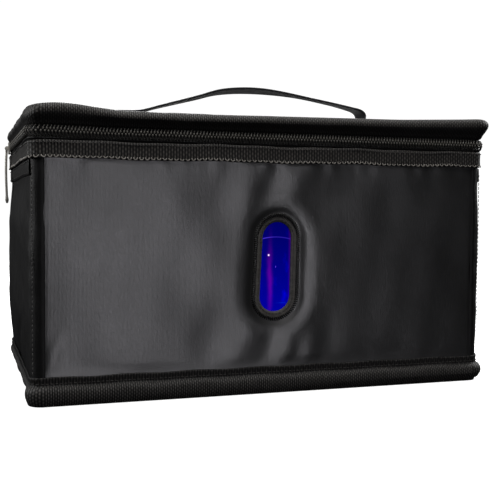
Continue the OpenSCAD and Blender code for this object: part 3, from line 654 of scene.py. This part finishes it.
# ---------------- upright corner seams
corner_stitches = []
for s_c, sign in ((S_FRONT, -1), (S_FRONT + 2 * FLAT_X, 1), (S_LEFT - ARC, 1), (S_BACK, -1)):
    at_s = s_c + sign * math.radians(50) * CORNER
    zz = np.arange(22, 158, 3.1)
    jitter = rng.uniform(-0.12, 0.12, len(zz))
    px, py, nx, ny = plan_at(np.full(len(zz), at_s) + jitter)
    o = 0.95
    corner_stitches.append((np.stack([px + nx * o, py + ny * o, zz], -1), np.stack([nx, ny, 0 * nx], -1)))
at = np.concatenate([c[0] for c in corner_stitches])
up = np.concatenate([c[1] for c in corner_stitches])
threads("corner_stitches", at, (0, 0, 1), up, 2.3, 0.27, THREAD_GREY)


# ---------------- bindings and tapes
def closed_path(step):
    return np.linspace(0, S_END, int(S_END / step) + 1)


def lid_warp(s):
    """How far the lid's edge stands above or below its plan height, round the lid."""
    x, y, _, _ = plan_at(s)
    at = [-166, -160, -150, -138, -122, -108, -60, 0, 60, 95, 128, 152, 166]
    front_z = np.interp(x, at, [-2.6, -0.9, 0.0, -0.5, -2.5, -3.9, -4.2, -3.3, -2.6, -2.2, -0.9, 0.1, 0.9])
    back_z = np.interp(x, [-166, -90, 0, 90, 166], [-3.6, -1.5, -1.0, -1.4, -1.0])
    t = smooth((y + 100) / 200)
    return front_z * (1 - t) + back_z * t


def second_material(ob, mat, rows, across):
    """Gives the first rows of faces across a swept tape a second material."""
    ob.data.materials.append(mat)
    index = np.tile(np.arange(across) < rows, len(ob.data.polygons) // across)
    ob.data.polygons.foreach_set("material_index", index.astype(np.int32))


def side_share(s, side):
    """1 along the left (-1) or right (+1) wall, 0 elsewhere."""
    x, y, _, _ = plan_at(s)
    return smooth((side * x - FLAT_X - 1) / 7)


s = closed_path(1.2)
prof, roll_len = curve_through([(-2.6, -4.9), (-2.5, -2.0), (-0.6, -0.2), (2.0, 0.0), (4.4, -1.3), (5.6, -3.9),
                                (5.4, -6.6), (4.3, -9.2), (3.0, -11.4), (2.2, -13.2), (1.3, -14.3), (0.4, -13.6)], 34)
w = lid_warp(s)
w = np.convolve(np.concatenate([w[-9:], w, w[:9]]), np.hanning(19) / np.hanning(19).sum(), "same")[9:-9]
w[-1] = w[0]
x, y, _, _ = plan_at(s)
fat = 1 + 0.05 * round_wave(s, 13) + 0.05 * round_wave(s, 31, 1)
fat = fat - 0.5 * side_share(s, -1) + 0.45 * side_share(s, 1) * smooth((-y - 50) / 40)
low = smooth((-prof[:, 1] - 2) / 11)
fuller = 1 + (fat[:, None] - 1) * (1 - 0.6 * low[None, :])
out = np.where(prof[None, :, 0] > 0, prof[None, :, 0] * fuller, prof[None, :, 0])
z = 197 + w[:, None] * (1 - 0.85 * low[None, :]) + prof[None, :, 1]
lid_roll = sweep("lid_edge_tape", s, out[:, ::-1], z[:, ::-1], BINDING, body="lid", slot="webbing")
# The lower part of the roll gets the darker webbing: painted shade.
second_material(lid_roll, BINDING_PAINTED_SHADE, int(np.sum(prof[:, 1] < -6.2)), len(prof) - 1)
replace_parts(lid_roll, "lid_binding")

prof, roll_len = curve_through([(0.2, 19.2), (0.9, 19.4), (1.15, 18.4), (0.9, 16.5), (0.8, 14.6), (1.4, 13.4),
                                (2.8, 12.4), (4.0, 10.2), (4.3, 7.6), (3.9, 4.6), (3.0, 2.0), (1.8, 0.35),
                                (-1.5, 0.1), (-4.5, 0.05)], 40)
x, y, _, _ = plan_at(s)
fat = 1 + 0.06 * round_wave(s, 17, 0.7) + 0.05 * round_wave(s, 37)
tucked = side_share(s, -1) * smooth((y + 96) / 16)
fat = fat - 0.6 * tucked + 0.1 * side_share(s, 1)
out = np.where(prof[None, :, 0] > 1.2, 1.2 + (prof[None, :, 0] - 1.2) * fat[:, None], prof[None, :, 0])
out = out - 3.0 * tucked[:, None] * smooth((12 - prof[None, :, 1]) / 10)
raised = np.interp(x, [-166, 10, 70, 135, 166], [0.2, 0.3, 1.4, 1.9, 2.2])
raised = raised + 3.0 * tucked
z = prof[None, :, 1] + raised[:, None] * smooth((8 - prof[None, :, 1]) / 6) * (prof[None, :, 0] > 0)
z = z + 0.3 * round_wave(s, 23)[:, None] * smooth((prof[None, :, 1] - 2) / 6)
z = np.maximum(z, 0.05)
foot_roll = sweep("bottom_edge_tape", s, out, z, FOOT, slot="webbing")
# The recessed top strip of the binding gets the darker webbing: painted shade.
second_material(foot_roll, FOOT_RECESS_SHADE, int(np.sum(prof[:, 1] > 13.0)) - 1, len(prof) - 1)
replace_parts(foot_roll, "bottom_binding")

prof, band_len = curve_through([(0.35, 172.6), (1.15, 173.0), (1.75, 172.3), (1.9, 170.5), (1.8, 167), (1.9, 163.8),
                                (1.75, 162.0), (1.1, 161.3), (0.3, 161.7)], 22)
wave = 0.35 * round_wave(s, 11, 1.0) + 0.2 * round_wave(s, 29)
out = prof[None, :, 0] + 0.25 * round_wave(s, 19)[:, None] * (prof[None, :, 0] > 1)
z = prof[None, :, 1] + wave[:, None]
band = sweep("rim_band_tape", s, out, z, BAND, slot="webbing")
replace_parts(band, "rim_band")


def row_along(path_s, zz, o, pitch_len, radius, name, mat, body="case", dash=0.7, wave_z=None):
    px, py, nx, ny = plan_at(path_s)
    z_here = zz + (0 if wave_z is None else wave_z)
    at = np.stack([px + nx * o, py + ny * o, z_here + 0 * px], -1)
    along = np.stack([-ny, nx, 0 * nx], -1)
    return threads(name, at, along, np.stack([nx, ny, 0 * nx], -1), pitch_len * dash, radius, mat, body)




def arcs_along(name, path_s, z_low, rise, width, o, radius, mat, wave_z=0.0, body="case"):
    """U-shaped stitches: each dips down between two points on the tape."""
    lines = []
    for u, dz, do in ((-0.5, 1.0, -0.2), (-0.44, 0.5, 0.25), (-0.25, 0.1, 0.35), (0.0, 0.0, 0.35), (0.25, 0.1, 0.35),
                      (0.44, 0.5, 0.25), (0.5, 1.0, -0.2)):
        px, py, nx, ny = plan_at(path_s + u * width)
        lines.append(np.stack([px + nx * (o + do), py + ny * (o + do), z_low + dz * rise + wave_z + 0 * px], -1))
    return tubes(name, np.stack(lines, 1), radius, mat, body)


def band_wave(ps):
    return 0.35 * round_wave(ps, 11, 1.0) + 0.2 * round_wave(ps, 29)


ps = np.arange(0, S_END, 3.95)
arcs_along("band_stitches_low", ps, 161.75, 1.5, 2.5, 1.75, 0.42, THREAD, band_wave(ps))
ps = np.arange(0, S_END, 2.0)
row_along(ps, 171.4, 1.95, 2.0, 0.36, "band_stitches_high", THREAD_GREY, wave_z=band_wave(ps), dash=0.6)
row_along(np.arange(0, S_END, 3.0), 15.4, 0.95, 3.0, 0.26, "foot_stitches", THREAD_DARK)

for tag, lo, hi in (("left", S_LEFT - ARC - 5, S_FRONT - ARC + 4), ("right", S_RIGHT - 4, S_BACK + 5)):
    st = np.arange(lo, hi, 1.4)
    prof, tl = curve_through([(0.2, 160.8), (0.9, 160.4), (1.15, 157), (1.1, 153), (0.95, 150.9), (0.2, 150.4)], 14)
    zz = prof[None, :, 1] + 0.25 * np.sin(st / 21)[:, None]
    side_tape = sweep(f"{tag}_side_band", st, prof[None, :, 0] + 0 * zz, zz, SIDE_TAPE, slot="webbing")
    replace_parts(side_tape, f"{tag}_side_tape")
    pp = np.arange(lo + 3, hi - 3, 3.0)
    row_along(pp, 152.0, 1.25, 3.0, 0.22, f"{tag}_side_stitches_low", THREAD_DARK)
    row_along(pp + 1, 159.2, 1.25, 3.0, 0.22, f"{tag}_side_stitches_high", THREAD_DARK)

# Zip tapes: the lower one rolls out over the band, the upper one runs up under the lid's binding
ZIP0, ZIP1 = S_LEFT + 3, S_BACK - ARC - 3
st = np.arange(ZIP0, ZIP1, 1.2)
ripple = 0.3 * np.sin(st / 17)[:, None] + 0.2 * np.sin(st / 7.3)[:, None]
prof, tl = curve_through([(0.1, 163), (0.25, 170), (0.5, 173.0), (1.3, 173.7), (1.7, 174.2), (1.2, 174.8),
                          (0.55, 175.4), (0.4, 178.2)], 20)
mid = bump((prof[:, 1] - 174.2) / 2.5)[None, :]
lower_tape = sweep("lower_zip_cloth", st, prof[None, :, 0] + ripple * mid, prof[None, :, 1] + 0 * ripple, TAPE,
                   slot="zip_tape")
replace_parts(lower_tape, "case_zip_tape")
prof, tl = curve_through([(0.7, 177.9), (0.7, 180.5), (0.6, 183), (0.3, 185.5), (0.25, 189.8)], 14)
upper_tape = sweep("upper_zip_cloth", st, prof[None, :, 0] + 0.5 * ripple * bump((prof[:, 1] - 184) / 4)[None, :],
                   prof[None, :, 1] + 0 * ripple, TAPE, body="lid", slot="zip_tape")
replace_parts(upper_tape, "lid_zip_tape")

# Two rows of coil that lock together
PITCH = 2.25
run = np.arange(S_LEFT + FLAT_Y - ZIP_END, S_BACK - ARC - (FLAT_Y - ZIP_END), PITCH)


def zip_line(ps):
    """Height of the middle of the zip: it rides a little higher at the box's front left corner."""
    x, y, _, _ = plan_at(ps)
    return 178.3 + np.interp(x, [-166, -155, -120, 166], [0.9, 0.7, 0.0, -0.2])


def coil_row(name, flip, body, shift, node, reach):
    """One coil: each turn starts in the tape, rises out and reaches towards the other coil."""
    lines = []
    for du, o, dz in ((1.0, 0.6, 4.4), (0.85, 1.5, 4.2), (0.55, 2.15, 3.5), (0.1, 2.45, 2.2), (-0.3, 2.6, 1.0),
                      (-0.5, 2.7, 0.35)):
        px, py, nx, ny = plan_at(run + shift + du)
        lines.append(np.stack([px + nx * o, py + ny * o, zip_line(run) + flip * dz * reach], -1))
    radius = np.array([0.36, 0.42, 0.44, 0.46, 0.5, 0.45])
    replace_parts(tubes(name, np.stack(lines, 1), radius, COIL, body, sides=7), node)


coil_row("upper_coil_row", 1, "lid", 0.0, "lid_zip_coil", 0.8)
coil_row("lower_coil_row", -1, "case", PITCH / 2, "case_zip_coil", 0.86)
# The rounded heads where the two coils lock together, in a lighter copy of the coil's colour: a painted highlight
for name, dz, shift, body in (("upper_coil_heads", 1.15, 0.0, "lid"), ("lower_coil_heads", -0.55, PITCH / 2, "case")):
    px, py, nx, ny = plan_at(run + shift)
    heads = np.stack([px + nx * 2.75, py + ny * 2.75, zip_line(run) + dz], -1)
    threads(name, heads, (0, 0, 1), np.stack([nx, ny, 0 * nx], -1), 1.55, 0.52, COIL_HEAD_HIGHLIGHT, body,
            lift=0.1, sides=8)

# Facing that turns over the top of the walls, and the lid's own upright strip
prof, tl = curve_through([(0.15, 168), (0.2, 171.6), (-0.4, 172.75), (-4, 172.95), (-7.8, 172.8), (-8.5, 171.8),
                          (-8.6, 168), (-8.55, 163)], 22)
sf = closed_path(2.4)
facing = sweep("rim_facing_tape", sf, prof[None, :, 0] + 0 * sf[:, None],
               prof[None, :, 1] + 0.15 * round_wave(sf, 21)[:, None], LINING, slot="facing")
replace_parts(facing, "rim_facing")
row_along(np.arange(0, S_END, 3.4), 172.98, -2.2, 3.4, 0.22, "facing_stitches", THREAD_DARK)
prof, tl = curve_through([(-1.0, 192.0), (-0.3, 190.5), (-0.15, 187), (-0.3, 184), (-0.9, 183.3), (-1.2, 184.5)], 14)
skirt = sweep("lid_wall_cloth", sf, prof[None, :, 0] + 0 * sf[:, None], prof[None, :, 1] + 0 * sf[:, None], LINING,
              body="lid", slot="cover_fabric")
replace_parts(skirt, "lid_wall")

# Back hinge: one strip of fabric between the case and the lid
sh = np.concatenate([np.arange(S_BACK - ARC - 4.5, S_END, 1.6), np.arange(S_END, S_END + S_LEFT + 4.5, 1.6)])
prof, tl = curve_through([(0.3, 163), (0.4, 170), (0.75, 173.2), (1.15, 175), (0.8, 177), (0.45, 181),
                          (0.3, 189.5)], 34)
zz = prof[None, :, 1] + 0 * sh[:, None]
oo = prof[None, :, 0] + 0.25 * wobble(sh[:, None], zz * 2, 34, 61) * bump((zz - 176) / 12)
hinge = sweep("hinge_cloth", sh, oo, zz, NYLON_SIDE, body=None, slot="zip_tape")
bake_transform(hinge)
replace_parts(hinge, "hinge_tape_case", "hinge_tape_lid")

# ---------------- lid cloth
xs, ys = np.meshgrid(np.linspace(-165, 165, 190), np.linspace(-99, 99, 116), indexing="ij")
edge = np.minimum(165 - np.abs(xs), 99 - np.abs(ys))
d = 193.3 + 0.35 * wobble(xs, ys, 90, 71) + 0.16 * wobble(xs, ys, 30, 72) + 0.5 * smooth(edge / 30)
for cx, sx in ((-100, -1), (100, 1)):
    r = np.hypot((xs - cx) / 1.6, ys)
    d += -0.45 * np.exp(-(r / 10) ** 2)
    ang = np.arctan2(ys, xs - cx)
    d += 0.25 * np.cos(ang * 6 + sx) * np.exp(-((r - 16) / 7) ** 2)
d = np.maximum(d, 192.4)
lid_cloth = grid("lid_cloth", np.stack([xs, ys, d], -1), NYLON_LID, np.stack([xs, ys], -1), body="lid",
                 slot="cover_fabric")
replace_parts(lid_cloth, "lid_cover")


# ---------------- window
def capsule_line(r, n):
    """Points round the window at radius r: x, z, and outward direction, with the length run so far."""
    straight = 2 * WIN_H
    total = 2 * straight + 2 * math.pi * r
    t = np.linspace(0, total, n)
    x, z, ox, oz = (np.zeros(n) for _ in range(4))
    for i, v in enumerate(t):
        if v < math.pi * r:
            a = v / r
            x[i], z[i], ox[i], oz[i] = r * math.cos(a), WIN_H + r * math.sin(a), math.cos(a), math.sin(a)
        elif v < math.pi * r + straight:
            x[i], z[i], ox[i], oz[i] = -r, WIN_H - (v - math.pi * r), -1, 0
        elif v < 2 * math.pi * r + straight:
            a = math.pi + (v - math.pi * r - straight) / r
            x[i], z[i], ox[i], oz[i] = r * math.cos(a), -WIN_H + r * math.sin(a), math.cos(a), math.sin(a)
        else:
            x[i], z[i], ox[i], oz[i] = r, -WIN_H + (v - 2 * math.pi * r - straight), 1, 0
    return lean(x + WIN_X, z + WIN_Z), z + WIN_Z, ox, oz, t


n = 480
x, z, ox, oz, t = capsule_line(13.9, n)
prof = np.array([(-0.6, 1.15), (-2.4, 1.05), (-3.1, 0.6), (-3.05, -0.1), (-2.8, -0.6), (-1.6, -0.85),
                 (0.0, -0.95), (1.4, -0.85), (2.2, -0.6), (2.55, -0.1), (2.5, 0.35), (1.9, 0.75), (0.4, 0.85)])
teeth = 0.9 * np.abs(np.mod(t / 2.1, 1.0) * 2 - 1) - 0.35
radial = prof[None, :, 0] + (teeth[:, None] * (prof[None, :, 0] > 1.5))
depth = prof[None, :, 1] + 0.14 * wobble(t[:, None], prof[None, :, 0] * 3, 16, 81)
P = np.stack([x[:, None] + ox[:, None] * radial, -98.0 + depth, z[:, None] + oz[:, None] * radial], -1)
uv = np.stack([np.broadcast_to(t[:, None], radial.shape), radial + 4], -1)
ring = grid("window_tape", P, RING, uv, slot="rim_tape")
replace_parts(ring, "window_ring")
xo, zo, oxo, ozo, _ = capsule_line(16.1, int((4 * WIN_H + 2 * math.pi * 16.1) / 1.45))
sel = slice(0, -1)
tilt = 0.35
dirs = np.stack([oxo * 1.0 - ozo * tilt, 0 * oxo + 0.25, ozo * 1.0 + oxo * tilt], -1)[sel]
threads("window_overlock", np.stack([xo, np.full(len(xo), -99.05), zo], -1)[sel], dirs, (0, -1, 0), 3.2, 0.6,
        BLACK_THREAD)
xi, zi, oxi, ozi, _ = capsule_line(12.6, int((4 * WIN_H + 2 * math.pi * 12.6) / 2.6))
threads("window_stitches", np.stack([xi, np.full(len(xi), -98.95), zi], -1)[sel],
        np.stack([-ozi, 0 * ozi, oxi], -1)[sel], (0, -1, 0), 1.9, 0.2, THREAD_DARK)

rad = np.linspace(0.02, 1, 16)
xr, zr, _, _, _ = capsule_line(12.8, 160)
P = np.stack([WIN_X + (xr[:, None] - WIN_X) * rad, -97.45 - 0.35 * (1 - rad[None, :] ** 2) + 0 * xr[:, None],
              WIN_Z + (zr[:, None] - WIN_Z) * rad], -1)
# The sheet carries the painted glow of the lamp's light.
pane = grid("window_sheet", P, PAINTED_GLOW_PANE, slot="pane")
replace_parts(pane, "window_pane")

# ---------------- handle
path, strap_len = curve_through([(-86, 0.9), (-98, 0.9), (-109, 1.1), (-115.2, 2.9), (-116.2, 5.8), (-112, 8.2),
                                 (-104, 9.3), (-92, 9.8), (-77, 10.6), (-61.5, 14.6), (-46, 18.8), (-30, 23.2),
                                 (-13.7, 28.0), (2.8, 30.2), (19.5, 30.7), (36.5, 29.8), (54, 27.9), (71, 25.4),
                                 (89, 22.4), (100, 20.2), (108, 18.2), (111.9, 15.0), (112.0, 10.5), (110.0, 4.6),
                                 (105, 1.2), (92, 0.9), (80, 0.9)], 420)
tan = np.gradient(path, axis=0)
tan /= np.linalg.norm(tan, axis=1, keepdims=True)
N0 = np.stack([-tan[:, 1], 0 * tan[:, 0], tan[:, 0]], -1)
run_len = np.linspace(0, strap_len, len(path))
free = smooth((path[:, 1] - 9) / 8)
twist = np.interp(path[:, 0], [-120, -80, -40, -10, 20, 60, 96, 112], [2, 1, -2, -6, -5, 6, 5, 0]) * free
twist = np.radians(np.convolve(np.pad(twist, 15, "edge"), np.ones(31) / 31, "valid"))
Wd = np.stack([0 * twist, np.cos(twist), 0 * twist], -1) + N0 * np.sin(twist)[:, None]
Nn = N0 * np.cos(twist)[:, None] - np.stack([0 * twist, np.sin(twist), 0 * twist], -1)
half = np.array([(-10, 0), (-9.9, 0.55), (-9, 0.75), (-6, 0.62), (0, 0.55), (6, 0.62), (9, 0.75), (9.9, 0.55),
                 (10, 0), (9.9, -0.55), (9, -0.75), (6, -0.62), (0, -0.55), (-6, -0.62), (-9, -0.75), (-9.9, -0.55)])
C = np.stack([path[:, 0], 0 * path[:, 0], LID_TOP + 0.5 + path[:, 1]], -1)
curl = 0.35 * free[:, None] * (half[None, :, 0] / 10) ** 2
P = C[:, None] + Wd[:, None] * half[None, :, :1] + Nn[:, None] * (half[None, :, 1] + curl)[..., None]
uv = np.stack([np.broadcast_to(run_len[:, None], P.shape[:2]),
               np.broadcast_to(np.arange(16.0) * 2.6, P.shape[:2])], -1)
strap = grid("handle_webbing", P, STRAP, uv, wrap_v=True, body=None, slot="strap")
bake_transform(strap)
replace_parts(strap, "handle_strap", "handle_anchor_left", "handle_anchor_right")
sew = []
for side in (-1, 1):
    a, b, c, d2 = (89, -8), (107, -8), (107, 8), (89, 8)
    for p, q in ((a, b), (b, c), (c, d2), (d2, a), (a, c), (b, d2)):
        m = int(math.hypot(q[0] - p[0], q[1] - p[1]) / 2.6)
        for i in range(m):
            u = (i + 0.5) / m
            dx, dy = q[0] - p[0], q[1] - p[1]
            sew.append((side * (p[0] + dx * u) - (ANCHOR_SHIFT if side > 0 else 0), p[1] + dy * u, side * dx, dy))
sew = np.array(sew)
threads("handle_stitches", np.stack([sew[:, 0], sew[:, 1], np.full(len(sew), LID_TOP + 2.12)], -1),
        np.stack([sew[:, 2], sew[:, 3], 0 * sew[:, 0]], -1), (0, 0, 1), 1.8, 0.22, THREAD, "lid")

# ---------------- zip pull
hub = np.array([-171.4, 70.0, 178.0])
n_len, n_side = 46, 20
length = np.linspace(0.0, 1.0, n_len)
hang = np.radians(3.0 - 5.0 * smooth(length * 1.3))
step_len = 44.0 / (n_len - 1)
cx = hub[0] - np.concatenate([[0], np.cumsum(np.sin(hang[1:]) * step_len)])
cz = hub[2] - 0.9 - np.concatenate([[0], np.cumsum(np.cos(hang[1:]) * step_len)])
half_wide = np.interp(length, [0, 0.1, 0.16, 0.9, 0.96, 1.0], [1.5, 1.9, 2.1, 3.3, 3.2, 2.0])
half_thick = np.interp(length, [0, 0.08, 0.16, 0.86, 0.94, 1.0], [1.0, 1.0, 0.95, 0.95, 1.45, 0.7])
a = np.arange(n_side) * 2 * math.pi / n_side
ca, sa = np.cos(a), np.sin(a)
sq = np.stack([np.sign(ca) * np.abs(ca) ** 0.45, np.sign(sa) * np.abs(sa) ** 0.45], -1)
P = np.stack([cx[:, None] + half_thick[:, None] * sq[None, :, 0], hub[1] + half_wide[:, None] * sq[None, :, 1],
              cz[:, None] + 0 * sq[None, :, 0]], -1)
ends = np.stack([P[0].mean(0), P[-1].mean(0)])
faces = [tuple(f) for f in grid_faces(n_len, n_side, True)]
last = n_len * n_side
blade_co = np.concatenate([P.reshape(-1, 3), ends])
me = bpy.data.meshes.new("puller_blade")
tris = [(last, (j + 1) % n_side, j) for j in range(n_side)]
tris += [(last + 1, (n_len - 1) * n_side + j, (n_len - 1) * n_side + (j + 1) % n_side) for j in range(n_side)]
me.from_pydata((blade_co * MM).tolist(), [], [tuple(int(v) for v in f) for f in faces] + tris)
me.polygons.foreach_set("use_smooth", np.ones(len(me.polygons), bool))
me.materials.append(METAL)
blade = bpy.data.objects.new("puller_blade", me)
scene.collection.objects.link(blade)
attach(blade, "pull_tab")
ang = np.linspace(0, 2 * math.pi, 33)[:-1]
rings = []
for yy, r in ((-2.0, 0.95), (-2.0, 1.3), (-1.85, 1.45), (1.85, 1.45), (2.0, 1.3), (2.0, 0.95), (-2.0, 0.95)):
    rings.append(np.stack([hub[0] + r * np.cos(ang), hub[1] + yy + 0 * ang, hub[2] + r * np.sin(ang)], -1))
grid("puller_hub", np.stack(rings), METAL, wrap_v=True, body="pull_tab", slot="zip_metal")
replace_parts(blade, "pull_tab")

# ---------------- stage, lights and camera
floor_mat = Shader("pale floor", (0.86, 0.86, 0.86), 0.7, Specular_IOR_Level=0.1)
floor_mat.b.inputs["Emission Color"].default_value = (1, 1, 1, 1)
floor_mat.b.inputs["Emission Strength"].default_value = 1.0
back_mat = Shader("backdrop", (0.0, 0.0, 0.0), 1.0, Specular_IOR_Level=0.0)
back_mat.b.inputs["Emission Color"].default_value = (1, 1, 1, 1)
back_mat.b.inputs["Emission Strength"].default_value = 1.05


def quad(name, corners, mat):
    me = bpy.data.meshes.new(name)
    me.from_pydata(corners, [], [(0, 1, 2, 3)])
    me.materials.append(mat.m)
    ob = bpy.data.objects.new(name, me)
    scene.collection.objects.link(ob)
    ob.visible_diffuse = ob.visible_glossy = ob.visible_transmission = ob.visible_shadow = False


quad("floor", [(-1.6, -0.36, 0), (2.2, -0.36, 0), (2.2, 1.6, 0), (-1.6, 1.6, 0)], floor_mat)
quad("backdrop", [(-1.6, 1.6, 0), (2.2, 1.6, 0), (2.2, 1.6, 1.6), (-1.6, 1.6, 1.6)], back_mat)


def area(name, at, target, size, power, color):
    data = bpy.data.lights.new(name, "AREA")
    data.shape = "RECTANGLE"
    data.size, data.size_y = size
    data.energy = power
    data.color = color
    ob = bpy.data.objects.new(name, data)
    ob.location = at
    ob.visible_camera = False
    ob.rotation_euler = (Vector(target) - Vector(at)).to_track_quat("-Z", "Y").to_euler()
    scene.collection.objects.link(ob)


LIGHTS = [
    # name, place, aim, size, power, colour
    ("key", (0.1, -1.45, 0.0), (-0.06, -0.1, 0.09), (0.2, 1.1), 1.2, (0.965, 0.945, 1.0)),
    ("over", (-0.10, -0.72, 1.35), (0, -0.1, 0.12), (0.6, 0.3), 8.5, (1.0, 0.985, 0.96)),
    ("top", (-0.05, 0.15, 1.25), (-0.02, 0.0, 0.19), (0.7, 0.5), 6, (1, 1, 1)),
    ("back", (0.3, 1.35, 0.75), (0, 0.1, 0.09), (0.8, 0.6), 14, (1, 1, 1)),
    ("right", (1.35, 0.35, 0.7), (0.16, 0, 0.1), (0.6, 0.6), 7, (1, 1, 1)),
    ("left", (-1.4, 0.45, 0.6), (-0.16, 0, 0.1), (0.6, 0.6), 7, (1, 1, 1)),
]
for light in LIGHTS:
    area(*light)
world = bpy.data.worlds.new("studio")
scene.world = world
world.use_nodes = True
background = world.node_tree.nodes["Background"]
background.inputs["Color"].default_value = (0.012, 0.012, 0.0125, 1)
background.inputs["Strength"].default_value = 1.0
scene.view_settings.view_transform = "Standard"
scene.view_settings.look = "None"

CAM_AT = (-0.211, -0.680, 0.129)                  # metres
CAM_YAW, CAM_PITCH, CAM_ROLL = 18.4, 2.62, 0.32   # degrees: to the right, downwards, clockwise
CAM_LENS = 63.6
cam_data = bpy.data.cameras.new("camera")
cam = bpy.data.objects.new("camera", cam_data)
scene.collection.objects.link(cam)
bpy.context.scene.camera = cam
cam_data.sensor_width = 36.0
cam_data.lens = CAM_LENS
cam_data.dof.use_dof = False
cam_data.clip_start, cam_data.clip_end = 0.01, 50
yaw, pitch, rolled = (math.radians(v) for v in (CAM_YAW, CAM_PITCH, CAM_ROLL))
fw = Vector((math.sin(yaw) * math.cos(pitch), math.cos(yaw) * math.cos(pitch), -math.sin(pitch)))
rt = fw.cross(Vector((0, 0, 1))).normalized()
upv = rt.cross(fw)
r2, u2 = rt * math.cos(rolled) + upv * math.sin(rolled), upv * math.cos(rolled) - rt * math.sin(rolled)
cam.matrix_world = Matrix.Translation(CAM_AT) @ Matrix((r2, u2, -fw)).transposed().to_4x4()
